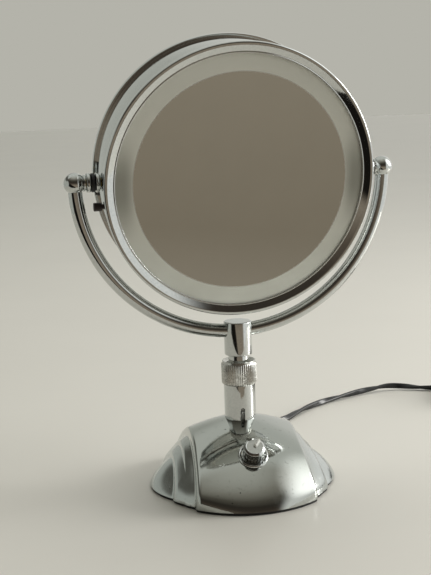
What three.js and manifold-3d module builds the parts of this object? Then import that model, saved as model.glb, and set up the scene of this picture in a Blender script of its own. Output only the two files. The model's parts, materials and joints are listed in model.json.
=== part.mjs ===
// A lighted two-sided countertop mirror: a round drum head with a mirror on each face hangs between the
// ends of a semicircular tube yoke, on a short telescopic column over a stepped die-cast base.
// Millimetres, +Z up, origin on the column's axis at table level, the base's front towards -Y.
import * as THREE from "three";
import { mergeVertices } from "three/addons/utils/BufferGeometryUtils.js";
import Module from "manifold-3d";

const wasm = await Module();
wasm.setup();

// ---- driving dimensions ----
const GAP = 0.3; // clearance between touching pieces

// Pose in which the mirror stands.
const HEAD_TILT = 8.2; // degrees, mirror face turned down
const YOKE_TURN = 5; // degrees, yoke turned on the column

// Base: a dome cut back in tiers at both sides.
const BASE_HALF_WIDTH = 75.5;
const BASE_HALF_DEPTH = 82;
const DOME_TOP = 55;
const DOME_POWER = 1.487; // how the dome falls from its top to its rim
const DOME_ROOT = 1.531;
const DOME_PLAN = 1.824; // 2 would be an elliptical plan
// Each tier, in shares of the three sizes above: height and half axes of its dome, half axes of its
// footprint and half width at the table. Lean is how far that side leans in per mm of height.
const TIER_SHARES = [
  { height: 1, ax: 1.3192, ay: 1.0061, footX: 1, footY: 1, side: 0.6291, lean: 0.137 },
  { height: 1.0182, ax: 0.9801, ay: 1.0061, footX: 0.9536, footY: 0.9451, side: 0.7179, lean: 0.164 },
  { height: 1, ax: 0.9404, ay: 1.1585, footX: 0.9669, footY: 0.9146, side: 0.8199, lean: 0.246 },
  { height: 0.8182, ax: 0.9934, ay: 0.8049, footX: 0.9934, footY: 0.7561, side: 1.06, lean: 0 },
];
const TIERS = TIER_SHARES.map((share) => ({
  height: share.height * DOME_TOP,
  ax: share.ax * BASE_HALF_WIDTH,
  ay: share.ay * BASE_HALF_DEPTH,
  footX: share.footX * BASE_HALF_WIDTH,
  footY: share.footY * BASE_HALF_DEPTH,
  side: share.side * BASE_HALF_WIDTH,
  lean: share.lean,
}));
// Index of the last tier that each tier's dome is trimmed by, counting up from the first.
const TRIMMED_TO = [-1, 0, 1, 0];
const FOOT_BLEND = 16; // height over which a dome's plan runs into its footprint
const CAVITY = { height: DOME_TOP - 7.5, ax: BASE_HALF_WIDTH - 8.5, ay: BASE_HALF_DEPTH - 4 };
const FOOT_HEIGHT = 1.9;
const FOOT_INSET = 0.9;
const FOOT_WIDTH = 9;
const PLATE_THICK = 1.5;
const PLATE_SCALE = 0.96; // of the cavity's plan
const BALLAST_INNER = 15;
const BALLAST_OUTER = 0.583 * BASE_HALF_WIDTH;
const BALLAST_THICK = 5.5;
const SCREW_X = 0.503 * BASE_HALF_WIDTH;
const SCREW_Y = 0.488 * BASE_HALF_DEPTH;
const SCREW_RADIUS = 1.6;
const SCREW_HEAD_RADIUS = 3.2;
const SCREW_LENGTH = 11;
const BOSS_RADIUS = 4.6;

// Column.
const LOWER_TUBE_RADIUS = 12.5;
const LOWER_TUBE_WALL = 2;
const LOWER_TUBE_BOTTOM = DOME_TOP - 2.3;
const SLOT_WIDTH = 3.1;
const SLOT_TOP = LOWER_TUBE_BOTTOM + 10.6;
const INNER_TUBE_RADIUS = LOWER_TUBE_RADIUS - 4.5;
const INNER_TUBE_WALL = 1.4;
const INNER_TUBE_BOTTOM = 15;
const SPIGOT_TOP = LOWER_TUBE_BOTTOM + 19.3;
const BOSS_BOTTOM = DOME_TOP - 15; // underside of the boss that the spigot is bolted to
const SPIGOT_BOTTOM = BOSS_BOTTOM - 9;
const SPIGOT_BOSS_RADIUS = LOWER_TUBE_RADIUS + 4.5;
const NUT_THICK = 5;
const NUT_RADIUS = LOWER_TUBE_RADIUS + 3;
const KEY_PIN_RADIUS = 1.05;
const KEY_PIN_DROP = 4; // below the slot's top
const COLLAR_RADIUS = LOWER_TUBE_RADIUS + 1.5;
const COLLAR_BOTTOM = LOWER_TUBE_BOTTOM + 28.3;
const COLLAR_HEIGHT = 18.7;
const COLLAR_NECK = INNER_TUBE_RADIUS + 1.8; // bore that the collet's nose fills
const COLLAR_NECK_DEPTH = 5.2;
const COLLAR_DISH = 2; // depth of its hollow top
const COLLAR_TEETH = 40;
const KNURL_DEPTH = 0.55;
const COLLET_LENGTH = 15;
const COLLET_SLIT = 1.4;
const HUB_RADIUS = LOWER_TUBE_RADIUS - 1.5;
const HUB_BOTTOM = COLLAR_BOTTOM + COLLAR_HEIGHT + 4.8;
const HUB_HEIGHT = 26.5;
const HUB_TOP = HUB_BOTTOM + HUB_HEIGHT;
const YOKE_CROSSING = 19.3; // of the yoke tube's centre line, above the hub's underside
const SWIVEL_RADIUS = 5;
const SWIVEL_LENGTH = 9.5;
const SWIVEL_DEPTH = 14; // in the inner tube
const WIRE_BORE = 1.8;

// Head.
const BEZEL_RADIUS = 105;
const BAND_RADIUS = BEZEL_RADIUS - 2;
const BAND_WALL = 1.2;
const BAND_HALF_WIDTH = 22;
const BEZEL_LIP = 28.1; // half depth of the head over the bezels
const BEZEL_BORE = BEZEL_RADIUS - 8.6;
const SPIGOT_DEPTH = 6; // of the bezel's inner sleeve
const SLEEVE_PLAY = 0.4; // between that sleeve and the band
const SLEEVE_WALL = 1.6;
const GLASS_FACE = 24.7; // half distance between the outer faces of the two glasses
const GLASS_THICK = 3;
const MIRROR_RADIUS = 0.78 * BEZEL_RADIUS;
const MAGNIFIER_DISH = 1.6;
const REFLECTOR_RADIUS = MIRROR_RADIUS - 1.9;
const REFLECTOR_THICK = 1.5;
const REFLECTOR_LIP = 4;
const DRUM_RADIUS = 0.5524 * BEZEL_RADIUS;
const DRUM_WALL = 1.5;
const HOLDER_RADIAL = 13;
const HOLDER_DEPTH = 20;
const HOLDER_HEIGHT = 26;
const LAMP_RADIUS = 7;
const LAMP_LENGTH = 34;
const LAMP_CAP_RADIUS = 4.6;
const LAMP_CAP_LENGTH = 7;
const LAMP_ORBIT = BAND_RADIUS - 13;
const LAMP_LEAN = 14; // degrees, so that the lamp follows the rim
const RIM_SCREW_DROP = 19;
const RIM_SCREW_RADIUS = 3.3;
const RIM_SCREW_SHANK = 2;
const RIM_SCREW_OUT = 7.5;
const RIM_SCREW_IN = 8; // length of its shank
const RIM_SCREW_SLOT = 1;

// Pivots. S is the distance from the head's centre along the pivot axis.
const BEAD_RADIUS = 7.4;
const BEAD_THICK = 4;
const WASHER_RADIUS = 7.2;
const WASHER_THICK = 2.4;
const AXLE_RADIUS = 3.4;
const AXLE_HEAD_RADIUS = 5.6;
const AXLE_HEAD_THICK = 2.2;
const AXLE_IN_BALL = 3.5; // how far the axle ends inside the ball's centre
const BALL_RADIUS = 8.2;
const BALL_NECK = 5.4;
const BALL_SOCKET = BALL_RADIUS + 0.8; // from the ball's centre down to the tube's end
const HEAD_BEAD_START = BAND_RADIUS + 0.35;
const WASHER_START = HEAD_BEAD_START + BEAD_THICK + GAP;
const YOKE_BEAD_START = WASHER_START + WASHER_THICK + GAP;
const NECK_START = YOKE_BEAD_START + BEAD_THICK + GAP;

// Yoke.
const YOKE_RADIUS = NECK_START + BALL_RADIUS - 0.35;
const YOKE_TUBE_RADIUS = 5.4;
const PIVOT_HEIGHT = HUB_BOTTOM + YOKE_CROSSING + YOKE_RADIUS;

// Dimmer: its axis leaves the dome's front slope.
const DIMMER_Y = -0.6098 * BASE_HALF_DEPTH;
const DIMMER_TILT = 39; // degrees from upright, towards the front
const KNOB_RADIUS = 8;
const KNOB_TOP = 12.6;
const KNOB_BOTTOM = 1.2;
const KNOB_TEETH = 20;
const KNOB_GROOVE = 1.1;
const KNOB_CAP_THICK = 3.6;
const KNOB_TURN = -40; // degrees, where its pointer stands
const POINTER_WIDTH = 2.2;
const POINTER_THICK = 1.6;
const POINTER_LENGTH = KNOB_RADIUS - 1.6;
const FLANGE_RADIUS = KNOB_RADIUS + 3.6;
const FLANGE_BORE = KNOB_RADIUS - 0.7;
const FLANGE_SEAT = 1.5;
const FLANGE_RISE = 2;
const SHAFT_RADIUS = 3;
const BUSHING_RADIUS = 4.6;
const DIMMER_BODY_RADIUS = 12;
const DIMMER_BODY_TOP = -5.6;
const DIMMER_BODY_BOTTOM = -18;
const DIMMER_NUT_RADIUS = FLANGE_BORE - 0.7;

// Mains lead: flat twin flex, wound up where it isn't in use, with a two-pin plug.
const CORD_RADIUS = 2.8;
const EXIT_Z = 9.5;
const RELIEF_SEAT = BASE_HALF_DEPTH - 4;
const RELIEF_FLANGE = 5.6;
const RELIEF_NECK = 3.8;
const RELIEF_END = BASE_HALF_DEPTH + 24;
const COIL_CENTRE = [280, RELIEF_END + 65];
const COIL_BASE = 1.4; // underside of the coil, over the tie's lower run
const COIL_INNER = 23.6; // centre line of its innermost turn
const COIL_COLUMNS = 2; // turns in each layer
const COIL_LAYERS = 4;
const COIL_LAYER_PITCH = 1.857 * CORD_RADIUS;
const TIE_WIDTH = 9;
const TIE_THICK = 0.9;
const PLUG_START = COIL_CENTRE[1] - 77; // where the lead's tail enters the plug's strain relief
const PLUG_RELIEF = 18;
const PLUG_LENGTH = 34;
const PLUG_WIDTH = 26;
const PLUG_THICK = 13.7;
const PIN_RADIUS = 2;
const PIN_LENGTH = 19;
const PIN_SPACING = 18.6;

// ---- finishes ----
function finish(color, roughness, metalness) {
  return new THREE.MeshStandardMaterial({ color, roughness, metalness });
}
const chrome = finish(0xc9ccca, 0.12, 1);
const wornChrome = finish(0xb4b9b6, 0.22, 1);
const knurledChrome = finish(0x9d9c97, 0.4, 1);
const steel = finish(0x8b8d8c, 0.45, 1);
const castIron = finish(0x3d3e40, 0.7, 0.6);
const brass = finish(0xb89a55, 0.35, 1);
const blackPlastic = finish(0x1b1c1e, 0.35, 0);
const rubber = finish(0x151515, 0.8, 0);
const nylon = finish(0xd9d6cc, 0.5, 0);
const porcelain = finish(0xe8e5dc, 0.3, 0);
const frostedGlass = finish(0x99a096, 0.55, 0);
const mirrorGlass = finish(0xd8dbd9, 0.03, 1);
const whiteEnamel = finish(0xe4e5e0, 0.4, 0);
const clearGlass = finish(0xdfe3e2, 0.1, 0);

// ---- geometry helpers ----
// Keeps positions only, merges shared corners and turns the faces outward.
function closed(geometry) {
  const bare = geometry.clone();
  bare.deleteAttribute("normal");
  bare.deleteAttribute("uv");
  const merged = mergeVertices(bare, 1e-4);
  const p = merged.attributes.position;
  const index = merged.index.array;
  const corners = [new THREE.Vector3(), new THREE.Vector3(), new THREE.Vector3()];
  let volume = 0;
  for (let i = 0; i < index.length; i += 3) {
    corners.forEach((corner, k) => corner.fromBufferAttribute(p, index[i + k]));
    volume += corners[0].dot(corners[1].cross(corners[2]));
  }
  if (volume < 0) {
    for (let i = 0; i < index.length; i += 3) {
      [index[i + 1], index[i + 2]] = [index[i + 2], index[i + 1]];
    }
  }
  return merged;
}

function solid(geometry) {
  const g = closed(geometry);
  const triVerts = new Uint32Array(g.index.array);
  return new wasm.Manifold(
    new wasm.Mesh({ numProp: 3, vertProperties: g.attributes.position.array, triVerts }),
  );
}

function geometryOf(manifold) {
  const m = manifold.getMesh();
  const g = new THREE.BufferGeometry();
  const xyz = new Float32Array(m.numVert * 3);
  for (let i = 0; i < m.numVert; i++) {
    xyz.set(m.vertProperties.subarray(i * m.numProp, i * m.numProp + 3), i * 3);
  }
  g.setAttribute("position", new THREE.BufferAttribute(xyz, 3));
  g.setIndex(new THREE.BufferAttribute(m.triVerts, 1));
  return g;
}

// Starts from the first geometry, adds the second list and cuts the third.
function combine(first, added, cut) {
  let body = solid(first);
  added.forEach((g) => (body = body.add(solid(g))));
  cut.forEach((g) => (body = body.subtract(solid(g))));
  return geometryOf(body);
}

function common(a, b) {
  return geometryOf(solid(a).intersect(solid(b)));
}

// Turned about Y, from [radius, y] points that start and end on the axis.
function turnedY(points, segments = 26) {
  return new THREE.LatheGeometry(points.map(([r, y]) => new THREE.Vector2(r, y)), segments);
}

function turned(points, segments = 26) {
  return turnedY(points, segments).rotateX(Math.PI / 2);
}

// A ring's profile closes on itself.
function ringY(points, segments = 26) {
  return turnedY([...points, points[0]], segments);
}

function ring(points, segments = 26) {
  return turned([...points, points[0]], segments);
}

function rod(radius, z0, z1, segments = 20) {
  return turned([[0, z0], [radius, z0], [radius, z1], [0, z1]], segments);
}

function pipe(outer, inner, z0, z1, segments = 26) {
  return ring([[inner, z0], [outer, z0], [outer, z1], [inner, z1]], segments);
}

function box(w, d, h, x, y, z) {
  return new THREE.BoxGeometry(w, d, h).translate(x, y, z);
}

function extruded(shape, z0, z1, segments = 12) {
  const options = { depth: z1 - z0, bevelEnabled: false, curveSegments: segments };
  return new THREE.ExtrudeGeometry(shape, options).translate(0, 0, z0);
}

function ellipse(a, b) {
  const shape = new THREE.Shape();
  shape.absellipse(0, 0, a, b, 0, 2 * Math.PI, false, 0);
  return shape;
}

function polygon(points) {
  return new THREE.Shape(points.map(([x, y]) => new THREE.Vector2(x, y)));
}

// A star outline. Each tooth has its crest points and its root points at these shares of the pitch.
function toothed(radius, depth, teeth, crests, roots) {
  const points = [];
  const pitch = (2 * Math.PI) / teeth;
  const add = (r, turns) => points.push([r * Math.cos(turns * pitch), r * Math.sin(turns * pitch)]);
  for (let i = 0; i < teeth; i++) {
    crests.forEach((share) => add(radius, i + share));
    roots.forEach((share) => add(radius - depth, i + share));
  }
  return polygon(points);
}

function hexagon(radius) {
  const corners = [0, 1, 2, 3, 4, 5].map((k) => (k * Math.PI) / 3);
  return polygon(corners.map((a) => [radius * Math.cos(a), radius * Math.sin(a)]));
}

// A round section along a curve.
function along(curve, radius, sides, steps) {
  const section = new THREE.Shape();
  section.absarc(0, 0, radius, 0, 2 * Math.PI, false);
  const options = { steps, extrudePath: curve, bevelEnabled: false, curveSegments: sides / 2 };
  return new THREE.ExtrudeGeometry(section, options);
}

function through(points) {
  return new THREE.CatmullRomCurve3(points.map((p) => new THREE.Vector3(...p)), false, "centripetal");
}

function mesh(name, geometry, material) {
  const m = new THREE.Mesh(closed(geometry), material);
  m.name = name;
  return m;
}

const rad = THREE.MathUtils.degToRad;
const root = new THREE.Group();

// ---- base ----
const shellBottom = FOOT_HEIGHT + GAP;

// A dome with a superelliptical plan, as a lathe shape whose plan is then stretched. With a footprint, the
// plan runs into that ellipse towards the shell's underside.
function dome({ height, ax, ay, footX, footY }, segments = 28, rings = 7) {
  const profile = [[0, 0]];
  for (let i = 0; i <= rings; i++) {
    const rho = Math.sin(((1 - i / rings) * Math.PI) / 2);
    profile.push([rho, height * Math.pow(1 - Math.pow(rho, DOME_POWER), 1 / DOME_ROOT)]);
  }
  const g = turned(profile, segments);
  const p = g.attributes.position;
  for (let i = 0; i < p.count; i++) {
    const x = p.getX(i);
    const y = p.getY(i);
    const rho = Math.hypot(x, y);
    if (rho === 0) continue;
    const inX = Math.pow(Math.abs(x / rho) / ax, DOME_PLAN);
    const inY = Math.pow(Math.abs(y / rho) / ay, DOME_PLAN);
    const stretch = Math.pow(inX + inY, -1 / DOME_PLAN);
    if (footX) {
      const above = THREE.MathUtils.clamp((p.getZ(i) - shellBottom) / (FOOT_BLEND - shellBottom), 0, 1);
      const foot = 1 / Math.hypot(x / rho / footX, y / rho / footY);
      const share = (1 - above) ** 2;
      p.setXY(i, x * (stretch + share * (foot - stretch)), y * (stretch + share * (foot - stretch)));
    } else {
      p.setXY(i, x * stretch, y * stretch);
    }
  }
  return g;
}

// The wedge between a tier's two leaning sides.
function wedge({ side, lean }, z0, z1) {
  const span = 200;
  const a = side - lean * z0;
  const b = side - lean * z1;
  const outline = polygon([[-a, z0], [a, z0], [b, z1], [-b, z1]]);
  return extruded(outline, -span / 2, span / 2).rotateX(Math.PI / 2);
}

// The base's stepped plan, inset all round, between two heights.
function steppedPlan(z0, z1, inset) {
  const pieces = TIERS.map((tier) => {
    const plan = extruded(ellipse(tier.footX - inset, tier.footY - inset), z0, z1, 16);
    return solid(common(plan, wedge({ side: tier.side - inset, lean: tier.lean }, 0, DOME_TOP)));
  });
  return pieces.reduce((all, piece) => all.add(piece));
}

// Height of the first tier's dome over the point (0, y).
function domeHeight(y) {
  const share = Math.pow(Math.abs(y) / TIERS[0].ay, DOME_POWER);
  return DOME_TOP * Math.pow(1 - share, 1 / DOME_ROOT);
}

// Places a geometry made about +Z on the dimmer's axis.
const dimmerOrigin = [0, DIMMER_Y, domeHeight(DIMMER_Y)];
function onDimmer(geometry) {
  return geometry.rotateX(rad(DIMMER_TILT)).translate(...dimmerOrigin);
}

// Places a geometry made about +Z so that its axis runs back along +Y through the cord's exit.
function onExit(geometry) {
  return geometry.rotateX(-Math.PI / 2).translate(0, 0, EXIT_Z);
}

const plateBottom = shellBottom + 1;
const plateTop = plateBottom + PLATE_THICK;
const screwPlaces = [[-1, -1], [1, -1], [1, 1], [-1, 1]].map(([i, j]) => [i * SCREW_X, j * SCREW_Y]);
const spigotRadius = LOWER_TUBE_RADIUS - LOWER_TUBE_WALL - GAP;
const pinHole = KEY_PIN_RADIUS + 0.15;
const keyPinZ = SLOT_TOP - KEY_PIN_DROP;

function baseShell() {
  const domes = TIERS.map((tier) => solid(dome(tier)));
  let shell = solid(common(dome(TIERS[0]), wedge(TIERS[0], 0, DOME_TOP + 5)));
  TIERS.forEach((tier, k) => {
    const trimmed = domes.slice(0, TRIMMED_TO[k] + 1).reduce((all, next) => all.intersect(next), domes[k]);
    shell = shell.add(trimmed.intersect(solid(wedge(tier, 0, DOME_TOP + 5))));
  });
  let cavity = solid(dome(CAVITY, 24, 6));
  cavity = cavity.subtract(solid(rod(SPIGOT_BOSS_RADIUS, BOSS_BOTTOM, DOME_TOP)));
  screwPlaces.forEach(([x, y]) => {
    const boss = rod(BOSS_RADIUS, plateTop + GAP, DOME_TOP, 12).translate(x, y, 0);
    cavity = cavity.subtract(solid(boss));
  });
  shell = shell.subtract(cavity);
  const cuts = [
    box(300, 300, 20, 0, 0, shellBottom - 10),
    rod(LOWER_TUBE_RADIUS + GAP, LOWER_TUBE_BOTTOM - GAP, DOME_TOP + 5, 32),
    rod(spigotRadius + GAP, BOSS_BOTTOM - 5, DOME_TOP + 5, 24),
    onDimmer(rod(FLANGE_RADIUS + GAP, -FLANGE_SEAT, 12, 32)),
    onDimmer(rod(BUSHING_RADIUS + GAP, -25, 5, 16)),
    onDimmer(rod(DIMMER_BODY_RADIUS + 0.8, DIMMER_BODY_BOTTOM - 1, DIMMER_BODY_TOP + GAP, 20)),
    onExit(rod(RELIEF_FLANGE + GAP, RELIEF_SEAT, RELIEF_SEAT + 20, 20)),
    onExit(rod(RELIEF_NECK + GAP, RELIEF_SEAT - 15, RELIEF_SEAT + 20, 12)),
  ];
  screwPlaces.forEach(([x, y]) => {
    cuts.push(rod(SCREW_RADIUS + GAP, 0, plateTop + SCREW_LENGTH + 1, 10).translate(x, y, 0));
  });
  cuts.forEach((g) => (shell = shell.subtract(solid(g))));
  return geometryOf(shell);
}

function footRing() {
  const inner = ellipse(TIERS[3].footX - FOOT_WIDTH, TIERS[1].footY - FOOT_WIDTH);
  const inside = solid(extruded(inner, -1, FOOT_HEIGHT + 1, 16));
  return geometryOf(steppedPlan(0, FOOT_HEIGHT, FOOT_INSET).subtract(inside));
}

function basePlate() {
  const plan = { height: 1000, ax: CAVITY.ax * PLATE_SCALE, ay: CAVITY.ay * PLATE_SCALE };
  const slice = box(300, 300, PLATE_THICK, 0, 0, PLATE_THICK / 2);
  const sheet = common(dome(plan, 40, 3), slice).translate(0, 0, plateBottom);
  const holes = screwPlaces.map(([x, y]) => rod(SCREW_RADIUS + GAP, 0, 20, 10).translate(x, y, 0));
  return combine(sheet, [], holes);
}

function baseScrew(x, y) {
  const top = plateBottom - GAP;
  const points = [
    [0, top - 0.5], [1, top - 1.7], [SCREW_HEAD_RADIUS, top - 1.1], [SCREW_HEAD_RADIUS, top],
    [SCREW_RADIUS, top], [SCREW_RADIUS, top + SCREW_LENGTH], [0, top + SCREW_LENGTH],
  ];
  return turned(points, 8).translate(x, y, 0);
}

root.add(mesh("base_shell", baseShell(), wornChrome));
root.add(mesh("foot_ring", footRing(), rubber));
root.add(mesh("base_plate", basePlate(), steel));
const ballastBottom = plateTop + GAP;
const ballast = pipe(BALLAST_OUTER, BALLAST_INNER, ballastBottom, ballastBottom + BALLAST_THICK);
root.add(mesh("ballast_weight", ballast, castIron));
screwPlaces.forEach(([x, y], i) => {
  root.add(mesh("base_screw_" + (i + 1), baseScrew(x, y), steel));
});

// ---- column ----
const tubeBore = LOWER_TUBE_RADIUS - LOWER_TUBE_WALL;
const collarTop = COLLAR_BOTTOM + COLLAR_HEIGHT;
const collarStep = collarTop - COLLAR_NECK_DEPTH;
const tubeTop = collarStep - GAP;

function lowerTube() {
  const tube = pipe(LOWER_TUBE_RADIUS, tubeBore, LOWER_TUBE_BOTTOM, tubeTop, 40);
  const slotMiddle = SLOT_TOP - SLOT_WIDTH / 2;
  const slotLeg = box(SLOT_WIDTH, 10, 20, 0, -LOWER_TUBE_RADIUS, slotMiddle - 10);
  const slotEnd = rod(SLOT_WIDTH / 2, 0, 10, 12).rotateX(Math.PI / 2);
  return combine(tube, [], [slotLeg, slotEnd.translate(0, -LOWER_TUBE_RADIUS + 5, slotMiddle)]);
}

function spigot() {
  const bore = INNER_TUBE_RADIUS + GAP;
  const tube = pipe(spigotRadius, bore, SPIGOT_BOTTOM, SPIGOT_TOP);
  const hole = rod(pinHole, 0, 10, 12).rotateX(Math.PI / 2).translate(0, -5, keyPinZ);
  return combine(tube, [], [hole]);
}

function lockCollar() {
  const z0 = COLLAR_BOTTOM;
  const z1 = collarTop;
  const r = COLLAR_RADIUS;
  const dish = COLLAR_NECK + 0.2;
  const star = extruded(toothed(r, KNURL_DEPTH, COLLAR_TEETH, [0], [0.5]), z0, z1);
  const envelope = turned([
    [0, z0], [r - 0.9, z0], [r + 0.2, z0 + 1.1], [r + 0.2, z1 - 2.4], [r - 0.6, z1 - 1.6], [r - 0.8, z1],
    [r - 1.6, z1], [dish, z1 - COLLAR_DISH], [0, z1 - COLLAR_DISH],
  ], 32);
  const bore = rod(LOWER_TUBE_RADIUS + GAP, z0 - 5, collarStep, 32);
  const neck = rod(COLLAR_NECK, z0, z1 + 5, 24);
  return combine(common(star, envelope), [], [bore, neck]);
}

// A slit sleeve in the lower tube's mouth, with a nose that fills the collar's neck.
function collet() {
  const bore = INNER_TUBE_RADIUS + GAP;
  const bottom = tubeTop - COLLET_LENGTH;
  const nose = collarTop - COLLAR_DISH - GAP;
  const sleeve = ring([
    [bore, bottom], [tubeBore - GAP, bottom], [tubeBore - GAP, tubeTop], [COLLAR_NECK - GAP, tubeTop],
    [COLLAR_NECK - GAP, nose], [bore, nose],
  ], 24);
  return combine(sleeve, [], [box(COLLET_SLIT, 10, 60, 0, bore + 3, tubeTop)]);
}

root.add(mesh("lower_tube", lowerTube(), chrome));
root.add(mesh("column_spigot", spigot(), steel));
const nutTop = BOSS_BOTTOM - GAP;
const nutBlank = extruded(hexagon(NUT_RADIUS), nutTop - NUT_THICK, nutTop);
const nut = combine(nutBlank, [], [rod(spigotRadius + GAP, 0, nutTop + 20, 24)]);
root.add(mesh("spigot_nut", nut, brass));
const pinReach = LOWER_TUBE_RADIUS - 0.8;
const keyPin = rod(KEY_PIN_RADIUS, INNER_TUBE_RADIUS + 2 * GAP, pinReach, 12).rotateX(Math.PI / 2);
root.add(mesh("key_pin", keyPin.translate(0, 0, keyPinZ), steel));
root.add(mesh("lock_collar", lockCollar(), knurledChrome));
root.add(mesh("collet", collet(), nylon));

const column = new THREE.Group();
const innerTubeTop = HUB_BOTTOM - GAP;
const innerBore = INNER_TUBE_RADIUS - INNER_TUBE_WALL;
column.add(mesh("inner_tube", pipe(INNER_TUBE_RADIUS, innerBore, INNER_TUBE_BOTTOM, innerTubeTop), chrome));
const plugRadius = innerBore - GAP;
const swivelPlug = ring([
  [WIRE_BORE, innerTubeTop - SWIVEL_DEPTH], [plugRadius, innerTubeTop - SWIVEL_DEPTH],
  [plugRadius, innerTubeTop],
  [SWIVEL_RADIUS, innerTubeTop], [SWIVEL_RADIUS, innerTubeTop + SWIVEL_LENGTH],
  [WIRE_BORE, innerTubeTop + SWIVEL_LENGTH],
], 16);
column.add(mesh("swivel_plug", swivelPlug, brass));
root.add(column);

// ---- yoke ----
const yoke = new THREE.Group();
yoke.position.z = PIVOT_HEIGHT;
yoke.rotation.z = rad(YOKE_TURN);
root.add(yoke);

// Half a circle hanging from the pivot axis, ending where the ball sockets begin. The tube's ends lean,
// so their inner corners are kept clear of the sockets too.
const endLean = (YOKE_TUBE_RADIUS * BALL_SOCKET) / YOKE_RADIUS;
class YokeArc extends THREE.Curve {
  getPoint(t, target = new THREE.Vector3()) {
    const start = Math.asin((BALL_SOCKET + GAP + endLean) / YOKE_RADIUS);
    const a = Math.PI + start + t * (Math.PI - 2 * start);
    return target.set(YOKE_RADIUS * Math.cos(a), 0, YOKE_RADIUS * Math.sin(a));
  }
}

function hub() {
  const z0 = HUB_BOTTOM - PIVOT_HEIGHT;
  const z1 = HUB_TOP - PIVOT_HEIGHT;
  const body = turned([
    [0, z0], [HUB_RADIUS - 1.2, z0], [HUB_RADIUS, z0 + 1.2], [HUB_RADIUS, z1 - 1],
    [HUB_RADIUS - 0.5, z1 - 0.3], [HUB_RADIUS - 1.4, z1], [0, z1 + 0.3],
  ]);
  const crossBore = along(new YokeArc(), YOKE_TUBE_RADIUS + GAP, 10, 30);
  const swivelBore = rod(SWIVEL_RADIUS + GAP, z0 - 1, z0 + SWIVEL_LENGTH + GAP, 16);
  const wireBore = rod(WIRE_BORE, z0, z1 - 6, 8);
  return combine(body, [], [crossBore, swivelBore, wireBore]);
}

// Lathe about the pivot axis, side -1 at the left; profile points are [radius, S].
function onPivot(points, side, segments = 18) {
  return ringY(points, segments).rotateZ(-side * Math.PI / 2);
}

const beadBore = AXLE_RADIUS + GAP;

function bead(start, side) {
  const r = BEAD_RADIUS;
  const crown = BEAD_THICK / 2;
  return onPivot([
    [beadBore, start], [r - 1.5, start], [r - 0.4, start + 0.7], [r, start + crown],
    [r - 0.4, start + BEAD_THICK - 0.7], [r - 1.5, start + BEAD_THICK], [beadBore, start + BEAD_THICK],
  ], side);
}

function frictionWasher(side) {
  const s = WASHER_START;
  const r = WASHER_RADIUS;
  return onPivot([[beadBore, s], [r, s], [r, s + WASHER_THICK], [beadBore, s + WASHER_THICK]], side);
}

function ball(side) {
  const sphere = new THREE.SphereGeometry(BALL_RADIUS, 16, 10).translate(side * YOKE_RADIUS, 0, 0);
  const socket = rod(YOKE_TUBE_RADIUS, -BALL_SOCKET, 0, 16).translate(side * YOKE_RADIUS, 0, 0);
  const neckEnd = YOKE_RADIUS - BALL_RADIUS / 2;
  const neck = turnedY([[0, NECK_START], [BALL_NECK, NECK_START], [BALL_NECK, neckEnd], [0, neckEnd]], 16);
  const bore = turnedY([
    [0, NECK_START - 2], [beadBore, NECK_START - 2], [beadBore, YOKE_RADIUS - AXLE_IN_BALL + GAP],
    [0, YOKE_RADIUS - AXLE_IN_BALL + GAP],
  ], 12);
  const turn = -side * Math.PI / 2;
  return combine(sphere, [socket, neck.rotateZ(turn)], [bore.rotateZ(turn)]);
}

function pivotAxle(side) {
  const headStart = BAND_RADIUS - BAND_WALL - 2 * GAP - AXLE_HEAD_THICK;
  return onPivot([
    [WIRE_BORE, headStart], [AXLE_HEAD_RADIUS, headStart], [AXLE_HEAD_RADIUS, headStart + AXLE_HEAD_THICK],
    [AXLE_RADIUS, headStart + AXLE_HEAD_THICK], [AXLE_RADIUS, YOKE_RADIUS - AXLE_IN_BALL],
    [WIRE_BORE, YOKE_RADIUS - AXLE_IN_BALL],
  ], side, 14);
}

yoke.add(mesh("hub", hub(), chrome));
yoke.add(mesh("yoke_tube", along(new YokeArc(), YOKE_TUBE_RADIUS, 10, 30), chrome));
[["left", -1], ["right", 1]].forEach(([label, side]) => {
  yoke.add(mesh("ball_end_" + label, ball(side), chrome));
  yoke.add(mesh("yoke_bead_" + label, bead(YOKE_BEAD_START, side), chrome));
  yoke.add(mesh("friction_washer_" + label, frictionWasher(side), blackPlastic));
  yoke.add(mesh("pivot_axle_" + label, pivotAxle(side), brass));
});

// ---- head: front at -Y, so "face" is -1 for the front and +1 for the rear ----
const head = new THREE.Group();
head.rotation.x = rad(HEAD_TILT);
yoke.add(head);

const bandBore = BAND_RADIUS - BAND_WALL;
const rimScrewS = Math.sqrt(BAND_RADIUS ** 2 - RIM_SCREW_DROP ** 2);

function headBand() {
  const w = BAND_HALF_WIDTH;
  const band = ringY([[bandBore, -w], [BAND_RADIUS, -w], [BAND_RADIUS, w], [bandBore, w]], 48);
  const pivotHole = rod(AXLE_RADIUS + GAP, -BEZEL_RADIUS - 5, BEZEL_RADIUS + 5, 14).rotateY(Math.PI / 2);
  const screwHole = rod(RIM_SCREW_SHANK + GAP, -BEZEL_RADIUS - 5, -BEZEL_RADIUS + 15, 10);
  return combine(band, [], [pivotHole, screwHole.rotateY(Math.PI / 2).translate(0, 0, -RIM_SCREW_DROP)]);
}

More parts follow.
